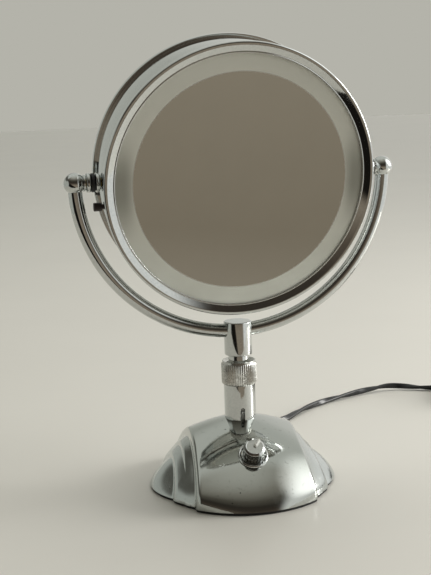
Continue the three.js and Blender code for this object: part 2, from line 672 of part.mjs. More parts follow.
function bezel(face) {
  const inner = BAND_HALF_WIDTH + GAP;
  const seat = GLASS_FACE + GAP;
  const sleeve = bandBore - SLEEVE_PLAY;
  const profile = [
    [BEZEL_RADIUS, inner], [BEZEL_RADIUS, BEZEL_LIP - 1.8], [BEZEL_RADIUS - 0.5, BEZEL_LIP - 0.6],
    [BEZEL_RADIUS - 1.5, BEZEL_LIP], [BEZEL_RADIUS - 2.6, BEZEL_LIP - 0.1], [BEZEL_BORE, seat + 0.6],
    [BEZEL_BORE, seat], [sleeve - SLEEVE_WALL, seat], [sleeve - SLEEVE_WALL, inner - SPIGOT_DEPTH],
    [sleeve, inner - SPIGOT_DEPTH], [sleeve, inner],
  ];
  return ringY(profile.map(([r, y]) => [r, face * y]), 40);
}

function diffuser(face) {
  const outer = bandBore - SLEEVE_PLAY - SLEEVE_WALL - GAP;
  const inner = MIRROR_RADIUS + GAP;
  const y0 = face * (GLASS_FACE - GLASS_THICK);
  const y1 = face * GLASS_FACE;
  return ringY([[inner, y0], [outer, y0], [outer, y1], [inner, y1]], 40);
}

function frontMirror() {
  const y0 = -GLASS_FACE;
  const y1 = y0 + GLASS_THICK;
  return turnedY([[0, y0], [MIRROR_RADIUS, y0], [MIRROR_RADIUS, y1], [0, y1]], 40);
}

// The rear glass is dished on its outer face and keeps its thickness.
function rearMirror() {
  const face = GLASS_FACE;
  const steps = 3;
  const dish = (r) => MAGNIFIER_DISH * (1 - (r / MIRROR_RADIUS) ** 2);
  const radii = Array.from({ length: steps + 1 }, (_, i) => (MIRROR_RADIUS * i) / steps);
  const back = radii.map((r) => [r, face - GLASS_THICK - dish(r)]);
  const front = radii.map((r) => [r, face - dish(r)]).reverse();
  return turnedY([...back, ...front], 40);
}

function reflector(face) {
  const y0 = GLASS_FACE - GLASS_THICK - MAGNIFIER_DISH - GAP;
  const y1 = y0 - REFLECTOR_THICK;
  const outer = REFLECTOR_RADIUS;
  const inner = outer - REFLECTOR_THICK;
  const lip = y1 - REFLECTOR_LIP;
  const outline = [[0, y0], [outer, y0], [outer, lip], [inner, lip], [inner, y1], [0, y1]];
  return turnedY(outline.map(([r, y]) => [r, face * y]), 24);
}

function innerDrum() {
  const w = GLASS_FACE - GLASS_THICK - MAGNIFIER_DISH - REFLECTOR_THICK - 2 * GAP;
  const inner = DRUM_RADIUS - DRUM_WALL;
  return ringY([[inner, -w], [DRUM_RADIUS, -w], [DRUM_RADIUS, w], [inner, w]], 24);
}

const holderEnd = bandBore - 4 * GAP - AXLE_HEAD_THICK;

// Places a geometry made about +Z in the lampholder's leaning socket.
function inHolder(geometry, side) {
  const socket = HOLDER_HEIGHT / 2 - LAMP_CAP_LENGTH;
  return geometry.rotateY(-side * rad(LAMP_LEAN)).translate(side * LAMP_ORBIT, 0, socket);
}

function lampholder(side) {
  const middle = holderEnd - HOLDER_RADIAL / 2;
  const block = box(HOLDER_RADIAL, HOLDER_DEPTH, HOLDER_HEIGHT, side * middle, 0, 0);
  return combine(block, [], [inHolder(rod(LAMP_CAP_RADIUS + GAP, -GAP, 60, 14), side)]);
}

function lamp(side) {
  const z1 = LAMP_CAP_LENGTH + 2;
  const z2 = LAMP_LENGTH;
  return inHolder(turned([
    [0, 0], [LAMP_CAP_RADIUS, 0], [LAMP_CAP_RADIUS, z1 + 1], [LAMP_RADIUS, z1 + 4],
    [LAMP_RADIUS, z2 - 4], [LAMP_RADIUS - 3, z2 - 1], [0, z2],
  ], 14), side);
}

function rimScrew() {
  const tip = rimScrewS + RIM_SCREW_OUT;
  const seat = rimScrewS + GAP + 0.7;
  const body = turned([
    [0, seat - RIM_SCREW_IN], [RIM_SCREW_SHANK, seat - RIM_SCREW_IN], [RIM_SCREW_SHANK, seat],
    [RIM_SCREW_RADIUS, seat],
    [RIM_SCREW_RADIUS, tip - 0.6], [RIM_SCREW_RADIUS - 0.6, tip], [0, tip],
  ], 14);
  const placed = combine(body, [], [box(RIM_SCREW_SLOT, 10, 2, 0, 0, tip)]).rotateY(-Math.PI / 2);
  return placed.translate(0, 0, -RIM_SCREW_DROP);
}

head.add(mesh("head_band", headBand(), chrome));
[["front", -1], ["rear", 1]].forEach(([label, face]) => {
  head.add(mesh(label + "_bezel", bezel(face), chrome));
  head.add(mesh(label + "_diffuser", diffuser(face), frostedGlass));
  head.add(mesh(label + "_reflector", reflector(face), whiteEnamel));
});
head.add(mesh("front_mirror", frontMirror(), mirrorGlass));
head.add(mesh("rear_mirror", rearMirror(), mirrorGlass));
head.add(mesh("inner_drum", innerDrum(), whiteEnamel));
[["left", -1], ["right", 1]].forEach(([label, side]) => {
  head.add(mesh("head_bead_" + label, bead(HEAD_BEAD_START, side), chrome));
  head.add(mesh("lampholder_" + label, lampholder(side), porcelain));
  head.add(mesh("lamp_" + label, lamp(side), clearGlass));
});
head.add(mesh("rim_screw", rimScrew(), blackPlastic));

// ---- dimmer ----
const dimmer = new THREE.Group();
dimmer.position.set(...dimmerOrigin);
dimmer.rotation.x = rad(DIMMER_TILT);
root.add(dimmer);

function knob() {
  const capBottom = KNOB_TOP - KNOB_CAP_THICK;
  const fluted = toothed(KNOB_RADIUS, KNOB_GROOVE, KNOB_TEETH, [0, 0.5], [0.6, 0.9]);
  const skirt = extruded(fluted, KNOB_BOTTOM, capBottom + 0.2);
  const cap = turned([
    [0, capBottom], [KNOB_RADIUS + 0.1, capBottom], [KNOB_RADIUS + 0.1, KNOB_TOP - 1.2],
    [KNOB_RADIUS - 1.4, KNOB_TOP], [0, KNOB_TOP],
  ], 32);
  const pointerY = POINTER_LENGTH / 2 + 0.2;
  const pointer = box(POINTER_WIDTH, POINTER_LENGTH, POINTER_THICK, 0, pointerY, KNOB_TOP + POINTER_THICK / 4);
  const bore = rod(SHAFT_RADIUS + GAP, KNOB_BOTTOM - 1, capBottom - 0.1, 16);
  return combine(skirt, [cap, pointer], [bore]);
}

function flange() {
  return ring([
    [FLANGE_BORE, -FLANGE_SEAT + GAP], [FLANGE_RADIUS, -FLANGE_SEAT + GAP], [FLANGE_RADIUS, FLANGE_RISE - 0.8],
    [FLANGE_RADIUS - 0.8, FLANGE_RISE], [FLANGE_RADIUS - 1.6, FLANGE_RISE - 0.2],
    [KNOB_RADIUS + 0.9, KNOB_BOTTOM - 0.5], [FLANGE_BORE, KNOB_BOTTOM - 0.5],
  ], 28);
}

function dimmerBody() {
  const can = turned([
    [0, DIMMER_BODY_BOTTOM], [DIMMER_BODY_RADIUS, DIMMER_BODY_BOTTOM], [DIMMER_BODY_RADIUS, DIMMER_BODY_TOP],
    [BUSHING_RADIUS, DIMMER_BODY_TOP], [BUSHING_RADIUS, KNOB_BOTTOM - 0.6], [0, KNOB_BOTTOM - 0.6],
  ], 20);
  return combine(can, [], [rod(SHAFT_RADIUS + GAP, DIMMER_BODY_TOP - 3, 5, 14)]);
}

dimmer.add(mesh("dimmer_body", dimmerBody(), blackPlastic));
dimmer.add(mesh("dimmer_shaft", rod(SHAFT_RADIUS, DIMMER_BODY_TOP - 2.5, KNOB_TOP - 4.2, 14), brass));
const dimmerNut = extruded(hexagon(DIMMER_NUT_RADIUS), -FLANGE_SEAT + GAP, KNOB_BOTTOM - 0.8);
dimmer.add(mesh("dimmer_nut", combine(dimmerNut, [], [rod(BUSHING_RADIUS + GAP, -5, 5, 14)]), brass));
dimmer.add(mesh("knob_flange", flange(), chrome));
const knobMesh = mesh("dimmer_knob", knob(), chrome);
knobMesh.rotation.z = rad(KNOB_TURN);
dimmer.add(knobMesh);

// ---- mains lead ----
const reliefProfile = [
  [0, RELIEF_SEAT - 4], [RELIEF_NECK, RELIEF_SEAT - 4], [RELIEF_NECK, RELIEF_SEAT + GAP],
  [RELIEF_FLANGE, RELIEF_SEAT + GAP], [RELIEF_FLANGE, RELIEF_SEAT + 3], [4.6, RELIEF_SEAT + 4],
  [3.4, RELIEF_END], [0, RELIEF_END],
];
root.add(mesh("cord_grommet", onExit(turned(reliefProfile, 20)), rubber));

const cordRest = CORD_RADIUS + 0.2;
// Points of the lead's route, with y measured from the strain relief's end.
const leadRoute = [
  [0, 0.5, EXIT_Z], [0.1, 4, EXIT_Z - 0.1], [1.5, 9, 8.6], [6, 15.5, 6.4], [14, 21.5, 4.2],
  [27, 26.5, cordRest],
  [42, 30, cordRest], [57, 35, cordRest], [70, 44, cordRest], [81, 57, cordRest], [94, 71, cordRest],
  [110, 84, cordRest], [128, 96, cordRest], [150, 107, 3.4], [172, 115, 4.4], [190, 119.5, 5],
  [206, 118, 4], [221, 112.5, cordRest], [236, 106, cordRest],
].map(([x, y, z]) => [x, RELIEF_END + y, z]);

// The coil's solid holds every turn. The lead runs onto its outermost turn along the tangent, and the tail
// leaves it a quarter turn further on.
const coilOuter = COIL_INNER + COIL_COLUMNS * 2 * CORD_RADIUS;
const coilHeight = 2 * CORD_RADIUS + (COIL_LAYERS - 1) * COIL_LAYER_PITCH;
const coilTop = COIL_BASE + coilHeight;
const coilIn = COIL_INNER - CORD_RADIUS;
const coilOut = coilOuter + CORD_RADIUS;
const [coilX, coilY] = COIL_CENTRE;
const clearAlong = Math.sqrt((coilOut + GAP) ** 2 - (coilOuter - CORD_RADIUS) ** 2) + GAP;

const firstLayer = COIL_BASE + CORD_RADIUS;
const leadEnd = [
  [coilX - clearAlong - 12, coilY + coilOuter + 0.9, firstLayer - 0.3],
  [coilX - clearAlong, coilY + coilOuter, firstLayer],
];
const lead = through([...leadRoute, ...leadEnd]);
root.add(mesh("power_cord", along(lead, CORD_RADIUS, 8, 40), blackPlastic));

const coil = ring([[coilIn, COIL_BASE], [coilOut, COIL_BASE], [coilOut, coilTop], [coilIn, coilTop]], 36);
root.add(mesh("cord_coil", coil.translate(coilX, coilY, 0), blackPlastic));

// A strap round the coil's section.
function cordTie() {
  const inside = Math.sqrt(coilIn ** 2 - (TIE_WIDTH / 2) ** 2) - GAP;
  const span = coilOut + GAP - inside;
  const middle = (coilOut + GAP + inside) / 2;
  const height = coilHeight + 2 * GAP;
  const z = (COIL_BASE + coilTop) / 2;
  const outer = box(TIE_WIDTH, span + 2 * TIE_THICK, height + 2 * TIE_THICK, 0, -middle, z);
  return combine(outer, [], [box(TIE_WIDTH + 2, span, height, 0, -middle, z)]).translate(coilX, coilY, 0);
}
root.add(mesh("cord_tie", cordTie(), rubber));

const plugX = coilX + coilOuter;
const plugAxis = PLUG_THICK / 2;
const tailTop = firstLayer + (COIL_LAYERS - 1) * COIL_LAYER_PITCH;
// Each point of the tail as its distance in front of the coil's middle, and its height.
const tailRoute = [
  [clearAlong, tailTop], [32, tailTop - 1.2], [43, tailTop - 5], [54, tailTop - 9], [64, plugAxis + 1.15],
  [72, plugAxis], [77, plugAxis],
].map(([ahead, z]) => [plugX, coilY - ahead, z]);
root.add(mesh("cord_tail", along(through(tailRoute), CORD_RADIUS, 8, 8), blackPlastic));

// The plug lies on its broad side with its pins towards -Y.
const plugHead = PLUG_START - GAP - PLUG_RELIEF;
function plugBody() {
  const half = PLUG_WIDTH / 2;
  const outline = polygon([
    [-5, plugHead + 1], [-8, plugHead - 4], [-half, plugHead - 13], [-half + 1, plugHead - PLUG_LENGTH],
    [half - 1, plugHead - PLUG_LENGTH], [half, plugHead - 13], [8, plugHead - 4], [5, plugHead + 1],
  ]);
  const block = extruded(outline, 0, PLUG_THICK);
  const relief = turned([[0, -2], [4.4, -2], [3.3, PLUG_RELIEF], [0, PLUG_RELIEF]], 16);
  relief.rotateX(-Math.PI / 2).translate(0, plugHead, plugAxis);
  return combine(block, [relief], []).translate(plugX, 0, 0);
}

function plugPin(side) {
  const y0 = plugHead - PLUG_LENGTH - GAP;
  const pin = turned([
    [0, 0], [PIN_RADIUS, 0], [PIN_RADIUS, PIN_LENGTH - 1], [PIN_RADIUS - 1, PIN_LENGTH], [0, PIN_LENGTH],
  ], 14);
  return pin.rotateX(Math.PI / 2).translate(plugX + (side * PIN_SPACING) / 2, y0, plugAxis);
}
root.add(mesh("plug_body", plugBody(), blackPlastic));
root.add(mesh("plug_pin_1", plugPin(-1), brass));
root.add(mesh("plug_pin_2", plugPin(1), brass));

export default root;
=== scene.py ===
import json
import math

import bmesh
import bpy
import numpy as np
from mathutils import Matrix, Vector


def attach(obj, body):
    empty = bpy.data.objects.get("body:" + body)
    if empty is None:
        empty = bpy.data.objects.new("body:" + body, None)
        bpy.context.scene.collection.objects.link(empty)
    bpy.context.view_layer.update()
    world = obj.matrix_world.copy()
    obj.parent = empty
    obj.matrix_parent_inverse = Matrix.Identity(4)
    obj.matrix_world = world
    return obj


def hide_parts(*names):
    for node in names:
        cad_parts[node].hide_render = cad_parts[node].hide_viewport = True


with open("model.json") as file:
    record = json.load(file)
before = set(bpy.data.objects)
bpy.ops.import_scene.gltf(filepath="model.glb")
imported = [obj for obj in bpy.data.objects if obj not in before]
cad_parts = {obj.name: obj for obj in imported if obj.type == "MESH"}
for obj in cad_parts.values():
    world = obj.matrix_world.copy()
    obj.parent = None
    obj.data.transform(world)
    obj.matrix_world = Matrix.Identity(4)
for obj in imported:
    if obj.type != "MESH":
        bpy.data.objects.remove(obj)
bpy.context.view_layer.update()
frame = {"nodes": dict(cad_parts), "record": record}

MM = 0.001

# ---- driving dimensions, in millimetres ----
PIVOT_HEIGHT = 246.3
YOKE_TURN = 5.0  # degrees
HEAD_TILT = 8.2
DIMMER_Y = -50.0
DIMMER_TILT = 39.0
KNOB_TURN = -40.0

DOME_POWER = 1.487
DOME_ROOT = 1.531
DOME_PLAN = 1.824
# Height, half axes of the dome, half axes of the footprint, half width at the table, lean of that side.
TIERS = [
    (55.0, 99.6, 82.5, 75.5, 82.0, 47.5, 0.137),
    (56.0, 74.0, 82.5, 72.0, 77.5, 54.2, 0.164),
    (55.0, 71.0, 95.0, 73.0, 75.0, 61.9, 0.246),
    (45.0, 75.0, 66.0, 75.0, 62.0, 80.0, 0.0),
]
# Index of the last tier that each tier's dome is trimmed by, counting up from the first.
TRIMMED_TO = [-1, 0, 1, 0]
SHELL_BOTTOM = 2.2
FOOT_BLEND = 16.0  # height over which a dome's plan runs into its footprint
FOOT_HEIGHT = 1.9
RIB_ROUND = 2.2  # how far the rounding of a rib's edge reaches along the skin
VALLEY_ROUND = 0.9
SKIN_REACH = 60.0  # usual distance of the skin from the middle, which turns those lengths into angles

CORD_WIDTH = 5.6
CORD_THICK = 3.4
CORD_TWIST = 108.0  # length of one full turn of the flex
COIL_CENTRE = (280.0, 171.0)
COIL_OUTER = 34.8
COIL_INNER = 23.6
COIL_FIRST = 4.2
COIL_PITCH = 5.2
COIL_LAYERS = 4
TURNS_PER_LAYER = 2
PLUG_AXIS = 6.85

LEAD_EXIT = 106.5  # how far behind the column the lead leaves its strain relief
LEAD_HEIGHT = 9.5

LOWER_TUBE_RADIUS = 12.5
LOWER_TUBE_FOOT = 52.7
LOWER_TUBE_TOP = 94.2
SLOT_HALF_WIDTH = 1.55
SLOT_TOP = 61.75  # where the slot's round end begins
INNER_TUBE_RADIUS = 8.0
COLLAR_RADIUS = 14.0
COLLAR_TEETH = 48
HUB_RADIUS = 11.0
HUB_FOOT = 104.5
HUB_TOP = 131.3

YOKE_RADIUS = 122.5
YOKE_TUBE_RADIUS = 5.4
BALL_RADIUS = 8.2
BALL_NECK = 5.0
BALL_RING = 116.1
BEAD_RADIUS = 7.4
OUTER_BEAD = 110.35
WASHER_RADIUS = 7.2
WASHER_START = 107.65
INNER_BEAD = 103.35

BAND_RADIUS = 103.0
BEZEL_RADIUS = 105.0
MIRROR_RADIUS = 82.0
GLASS_FACE = 24.7
GLASS_BACK = 21.7
STUB_DROP = 19.0

KNOB_RADIUS = 8.0
KNOB_FLUTES = 20


# ---- node and mesh helpers ----
def linear(colour):
    """An sRGB hex colour as the linear RGBA that the shaders take."""
    parts = [int(colour[i : i + 2], 16) / 255 for i in (1, 3, 5)]
    return (*[c / 12.92 if c <= 0.04045 else ((c + 0.055) / 1.055) ** 2.4 for c in parts], 1.0)


def add(tree, kind, settings=None, inputs=None):
    """Adds a node with its settings; an input is a value or another node's output."""
    node = tree.nodes.new(kind)
    for key, value in (settings or {}).items():
        setattr(node, key, value)
    for key, value in (inputs or {}).items():
        if isinstance(value, bpy.types.NodeSocket):
            tree.links.new(value, node.inputs[key])
        else:
            node.inputs[key].default_value = value
    return node


def calc(tree, operation, *values):
    """A maths node on two or three values."""
    return add(tree, "ShaderNodeMath", {"operation": operation}, dict(enumerate(values))).outputs[0]


def new_material(name, **shader):
    """A material and its shader, with constant settings; an underscore stands for a space."""
    made = bpy.data.materials.new(name)
    made.use_nodes = True
    tree = made.node_tree
    surface = tree.nodes["Principled BSDF"]
    for key, value in shader.items():
        surface.inputs[key.replace("_", " ")].default_value = value
    return made, tree, surface


def place_frame(height=0.0, turn=0.0, tilt=0.0):
    """A frame at a height on the column, turned about it and then tilted back."""
    matrix = Matrix.Translation((0, 0, height * MM)) @ Matrix.Rotation(math.radians(turn), 4, "Z")
    return matrix @ Matrix.Rotation(math.radians(tilt), 4, "X")


def dome_height(y):
    """Height of the middle dome at y on the mirror's plane of symmetry."""
    share = (abs(y) / TIERS[0][2]) ** DOME_POWER
    return TIERS[0][0] * (1 - share) ** (1 / DOME_ROOT)


YOKE = place_frame(PIVOT_HEIGHT, YOKE_TURN)
HEAD = place_frame(PIVOT_HEIGHT, YOKE_TURN, HEAD_TILT)
DIMMER = Matrix.Translation((0, DIMMER_Y * MM, dome_height(DIMMER_Y) * MM)) @ place_frame(tilt=DIMMER_TILT)
KNOB = DIMMER @ place_frame(turn=KNOB_TURN)


def ring_faces(rows, around, closed=False):
    """Faces between rows of points that each go once round. The last row joins the first when closed, and
    otherwise both end rows are capped."""
    faces = []
    for i in range(rows if closed else rows - 1):
        j = (i + 1) % rows
        for k in range(around):
            m = (k + 1) % around
            faces.append([i * around + k, i * around + m, j * around + m, j * around + k])
    if not closed:
        faces += [list(range(around)), [(rows - 1) * around + k for k in range(around)]]
    return faces


def piece(name, points, faces, body, slot, stands_for=(), place=None, sharp=38.0):
    """A mesh in millimetres that rides on a body and takes its slot's finish. Its faces turn outward."""
    mesh = bpy.data.meshes.new(name)
    mesh.from_pydata((np.asarray(points, float) * MM).tolist(), [], faces)
    work = bmesh.new()
    work.from_mesh(mesh)
    bmesh.ops.remove_doubles(work, verts=work.verts, dist=1e-7)
    bmesh.ops.recalc_face_normals(work, faces=work.faces)
    if work.calc_volume(signed=True) < 0:
        bmesh.ops.reverse_faces(work, faces=work.faces)
    work.to_mesh(mesh)
    work.free()
    mesh.shade_smooth()
    mesh.set_sharp_from_angle(angle=math.radians(sharp))
    made = bpy.data.objects.new(name, mesh)
    bpy.context.scene.collection.objects.link(made)
    made.data.materials.append(FINISHES[slot])
    if place is not None:
        made.matrix_world = place
    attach(made, body)
    if stands_for:
        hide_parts(*stands_for)
    return made


def rounded(corners, steps=5):
    """An outline of (across, along) or (across, along, radius) corners, with each radius as an arc."""
    points = []
    count = len(corners)
    for i, corner in enumerate(corners):
        here = np.array(corner[:2], float)
        radius = corner[2] if len(corner) > 2 else 0
        if not radius:
            points.append(here)
            continue
        to_last = np.array(corners[i - 1][:2], float) - here
        to_next = np.array(corners[(i + 1) % count][:2], float) - here
        reach_last, reach_next = np.linalg.norm(to_last), np.linalg.norm(to_next)
        half = math.acos(np.clip(to_last @ to_next / (reach_last * reach_next), -1, 1)) / 2
        cut = min(radius / math.tan(half), 0.49 * reach_last, 0.49 * reach_next)
        start, end = here + to_last / reach_last * cut, here + to_next / reach_next * cut
        for k in range(steps + 1):
            t = k / steps
            points.append((1 - t) ** 2 * start + 2 * t * (1 - t) * here + t * t * end)
    return np.array(points)


def lathe(outline, axis="Z", segments=128, carve=None):
    """Points and faces of an outline of (radius, along) turned about an axis. An outline that starts on the
    axis ends there too; any other closes on itself. carve(radius, angle) may change the radii."""
    outline = np.asarray(outline, float)
    angle = np.arange(segments) * 2 * math.pi / segments
    radius = np.repeat(outline[:, :1], segments, axis=1)
    along = np.repeat(outline[:, 1:2], segments, axis=1)
    if carve:
        radius = carve(radius, angle[None, :])
    across = [radius * np.cos(angle), radius * np.sin(angle)]
    order = {"Z": (0, 1, None), "Y": (0, None, 1), "X": (None, 0, 1)}[axis]
    points = np.stack([along if k is None else across[k] for k in order], axis=-1).reshape(-1, 3)
    rows = len(outline)
    faces = []
    on_axis = outline[0, 0] == 0
    for i in range(rows - 1 if on_axis else rows):
        j = (i + 1) % rows
        for k in range(segments):
            m = (k + 1) % segments
            corners = [i * segments + k, j * segments + k, j * segments + m, i * segments + m]
            if outline[i, 0] == 0:
                corners = corners[:3]
            elif outline[j, 0] == 0:
                corners = [corners[0], corners[1], corners[3]]
            faces.append(corners)
    return points, faces


def turned(name, corners, body, slot, stands_for=(), axis="Z", place=None, segments=128, carve=None):
    points, faces = lathe(rounded(corners), axis, segments, carve)
    return piece(name, points, faces, body, slot, stands_for, place)


def sweep(path, section, twist=None):
    """A section of (across, up) points carried along a path, turned by twist (radians at each path point)."""
    path = np.asarray(path, float)
    section = np.asarray(section, float)
    heading = np.gradient(path, axis=0)
    heading /= np.linalg.norm(heading, axis=1)[:, None]
    side = np.cross(heading, (0, 0, 1.0))
    side /= np.linalg.norm(side, axis=1)[:, None]
    up = np.cross(side, heading)
    turn = np.zeros(len(path)) if twist is None else twist
    cos, sin = np.cos(turn)[:, None, None], np.sin(turn)[:, None, None]
    u = section[None, :, :1] * cos - section[None, :, 1:] * sin
    v = section[None, :, :1] * sin + section[None, :, 1:] * cos
    points = path[:, None] + u * side[:, None] + v * up[:, None]
    return points.reshape(-1, 3), ring_faces(len(path), len(section))


def circle(radius, sides):
    """Points of a circle, counter-clockwise."""
    angle = np.arange(sides) * 2 * math.pi / sides
    return np.stack([radius * np.cos(angle), radius * np.sin(angle)], axis=1)


def smooth_line(knots, spacing):
    """A centripetal Catmull-Rom curve through the knots, with points about spacing apart."""
    knots = [np.array(k, float) for k in knots]
    knots = [2 * knots[0] - knots[1], *knots, 2 * knots[-1] - knots[-2]]
    line = []
    for a, b, c, d in zip(knots, knots[1:], knots[2:], knots[3:]):
        ab, bc, cd = (math.sqrt(np.linalg.norm(q - p)) for p, q in ((a, b), (b, c), (c, d)))
        leave = ((b - a) / ab - (c - a) / (ab + bc) + (c - b) / bc) * bc
        arrive = ((c - b) / bc - (d - b) / (bc + cd) + (d - c) / cd) * bc
        count = max(2, round(np.linalg.norm(c - b) / spacing))
        for t in np.arange(count) / count:
            h = (2 * t**3 - 3 * t**2 + 1, t**3 - 2 * t**2 + t, -2 * t**3 + 3 * t**2, t**3 - t**2)
            line.append(h[0] * b + h[1] * leave + h[2] * c + h[3] * arrive)
    return np.array([*line, knots[-2]])


def ramp(x, low, high):
    """A soft step from 0 at low to 1 at high."""
    t = np.clip((x - low) / (high - low), 0, 1)
    return t * t * (3 - 2 * t)


# ---- camera ----
LENS = 76.31
SENSOR = 36.0
CAMERA_PLACE = (-0.16151, -0.92593, 0.33069)  # metres
CAMERA_TURN = -8.90  # degrees
CAMERA_DIP = 10.39
CAMERA_ROLL = -2.03


def make_camera():
    """A short telephoto, a little left of the mirror and above it, rolled by two degrees."""
    data = bpy.data.cameras.new("studio_camera")
    data.lens = LENS
    data.sensor_width = SENSOR
    camera = bpy.data.objects.new("studio_camera", data)
    bpy.context.scene.collection.objects.link(camera)
    turn = Matrix.Rotation(math.radians(CAMERA_TURN), 4, "Z")
    pitch = Matrix.Rotation(math.radians(90 - CAMERA_DIP), 4, "X")
    roll = Matrix.Rotation(math.radians(CAMERA_ROLL), 4, "Z")
    camera.matrix_world = Matrix.Translation(CAMERA_PLACE) @ turn @ pitch @ roll
    data.clip_start, data.clip_end = 0.05, 50.0
    bpy.context.scene.camera = camera


make_camera()


# ---- materials ----
def object_coords(tree):
    """Position on the piece in its own frame, in metres."""
    return add(tree, "ShaderNodeTexCoord").outputs["Object"]


def noise(tree, coords, millimetres, detail=3.0, rough=0.5):
    """Noise whose blotches are about so many millimetres across."""
    inputs = {"Vector": coords, "Scale": 1 / (millimetres * MM), "Detail": detail, "Roughness": rough}
    return add(tree, "ShaderNodeTexNoise", None, inputs).outputs["Fac"]


def spread(tree, value, low, high, to_low, to_high, kind="LINEAR"):
    inputs = {"Value": value, "From Min": low, "From Max": high, "To Min": to_low, "To Max": to_high}
    return add(tree, "ShaderNodeMapRange", {"interpolation_type": kind}, inputs).outputs["Result"]


def blend_colour(tree, share, first, second):
    node = add(tree, "ShaderNodeMix", {"data_type": "RGBA"}, {0: share, 6: first, 7: second})
    return node.outputs[2]


def bump(tree, surface, height, distance_mm, strength=1.0):
    inputs = {"Height": height, "Distance": distance_mm * MM, "Strength": strength}
    node = add(tree, "ShaderNodeBump", None, inputs)
    tree.links.new(node.outputs["Normal"], surface.inputs["Normal"])


def bright_chrome():
    """Decorative chromium over nickel on polished brass: a cool, deep mirror with finger smears that only
    show as a slight softening of what it reflects."""
    made, tree, surface = new_material("bright_chrome_plate", Metallic=1.0)
    coords = object_coords(tree)
    smears = noise(tree, coords, 18, 4, 0.55)
    grain = noise(tree, coords, 1.5, 2)
    rough = spread(tree, smears, 0.42, 0.75, 0.035, 0.13)
    tree.links.new(rough, surface.inputs["Roughness"])
    tint = blend_colour(tree, spread(tree, grain, 0.3, 0.7, 0, 1), linear("#c6c9c8"), linear("#d2d4d2"))
    tree.links.new(tint, surface.inputs["Base Color"])
    bump(tree, surface, smears, 0.02, 0.25)
    return made


def cast_chrome():
    """Chromium on a polished zinc die casting that has aged: clear on the broad front, dulled to a pale haze
    over the ribs at both sides, with water marks and pits where the plating has lifted."""
    made, tree, surface = new_material("aged_chrome_on_zinc_casting", Metallic=1.0)
    coords = object_coords(tree)
    apart = add(tree, "ShaderNodeSeparateXYZ", None, {"Vector": coords})
    across = calc(tree, "ABSOLUTE", apart.outputs["X"])
    haze = spread(tree, across, 40 * MM, 56 * MM, 0.0, 1.0, "SMOOTHSTEP")
    clouds = noise(tree, coords, 14, 5, 0.62)
    marks = spread(tree, clouds, 0.5, 0.72, 0.0, 1.0)
    stain = noise(tree, coords, 4, 4, 0.6)
    pits = add(tree, "ShaderNodeTexVoronoi", None, {"Vector": coords, "Scale": 1 / (7 * MM)})
    # Pits about half a millimetre across, in a few cells out of many.
    near = spread(tree, pits.outputs["Distance"], 0.05, 0.10, 1.0, 0.0, "SMOOTHSTEP")
    cells = add(tree, "ShaderNodeSeparateColor", None, {"Color": pits.outputs["Color"]})
    few = spread(tree, cells.outputs[0], 0.70, 0.72, 0.0, 1.0)
    pit = calc(tree, "MULTIPLY", near, few)
    hazed = spread(tree, haze, 0, 1, 0.06, 0.17)
    marked = calc(tree, "MULTIPLY_ADD", marks, 0.10, hazed)
    spotted = spread(tree, stain, 0.62, 0.74, 0.0, 0.12)
    tree.links.new(calc(tree, "ADD", marked, spotted), surface.inputs["Roughness"])
    clear = blend_colour(tree, haze, linear("#bcbfbb"), linear("#c3c8c7"))
    worn = blend_colour(tree, spread(tree, stain, 0.60, 0.75, 0, 0.5), clear, linear("#9a9d98"))
    tree.links.new(blend_colour(tree, pit, worn, linear("#34322e")), surface.inputs["Base Color"])
    bump(tree, surface, calc(tree, "MULTIPLY_ADD", pit, -1.0, stain), 0.05, 0.35)
    return made


def knurled_chrome():
    """Chromium over a straight rolled knurl: satin, because the teeth's flanks are never polished."""
    made, tree, surface = new_material("chrome_over_rolled_knurl", Metallic=1.0)
    coords = object_coords(tree)
    dust = noise(tree, coords, 2.5, 4, 0.6)
    tree.links.new(spread(tree, dust, 0.35, 0.7, 0.22, 0.36), surface.inputs["Roughness"])
    tint = blend_colour(tree, spread(tree, dust, 0.35, 0.7, 0, 1), linear("#d6d6d2"), linear("#b4b3ad"))
    tree.links.new(tint, surface.inputs["Base Color"])
    bump(tree, surface, noise(tree, coords, 0.6, 2), 0.03, 0.3)
    return made


def plain_metal(name, colour, second, low, high, grain_mm):
    """A bare or plated metal part whose roughness varies with its grain."""
    made, tree, surface = new_material(name, Metallic=1.0)
    coords = object_coords(tree)
    grain = noise(tree, coords, grain_mm, 4, 0.6)
    tree.links.new(spread(tree, grain, 0.3, 0.7, low, high), surface.inputs["Roughness"])
    tree.links.new(blend_colour(tree, grain, linear(colour), linear(second)), surface.inputs["Base Color"])
    bump(tree, surface, grain, 0.04, 0.3)
    return made


def moulded(name, colour, second, low, high, grain_mm, depth_mm, **shader):
    """A moulded or fired part: an even colour with a fine skin texture."""
    made, tree, surface = new_material(name, **shader)
    coords = object_coords(tree)
    skin = noise(tree, coords, grain_mm, 3, 0.6)
    cloud = noise(tree, coords, 12, 3)
    tree.links.new(spread(tree, cloud, 0.3, 0.7, low, high), surface.inputs["Roughness"])
    tree.links.new(blend_colour(tree, cloud, linear(colour), linear(second)), surface.inputs["Base Color"])
    bump(tree, surface, skin, depth_mm, 0.4)
    return made


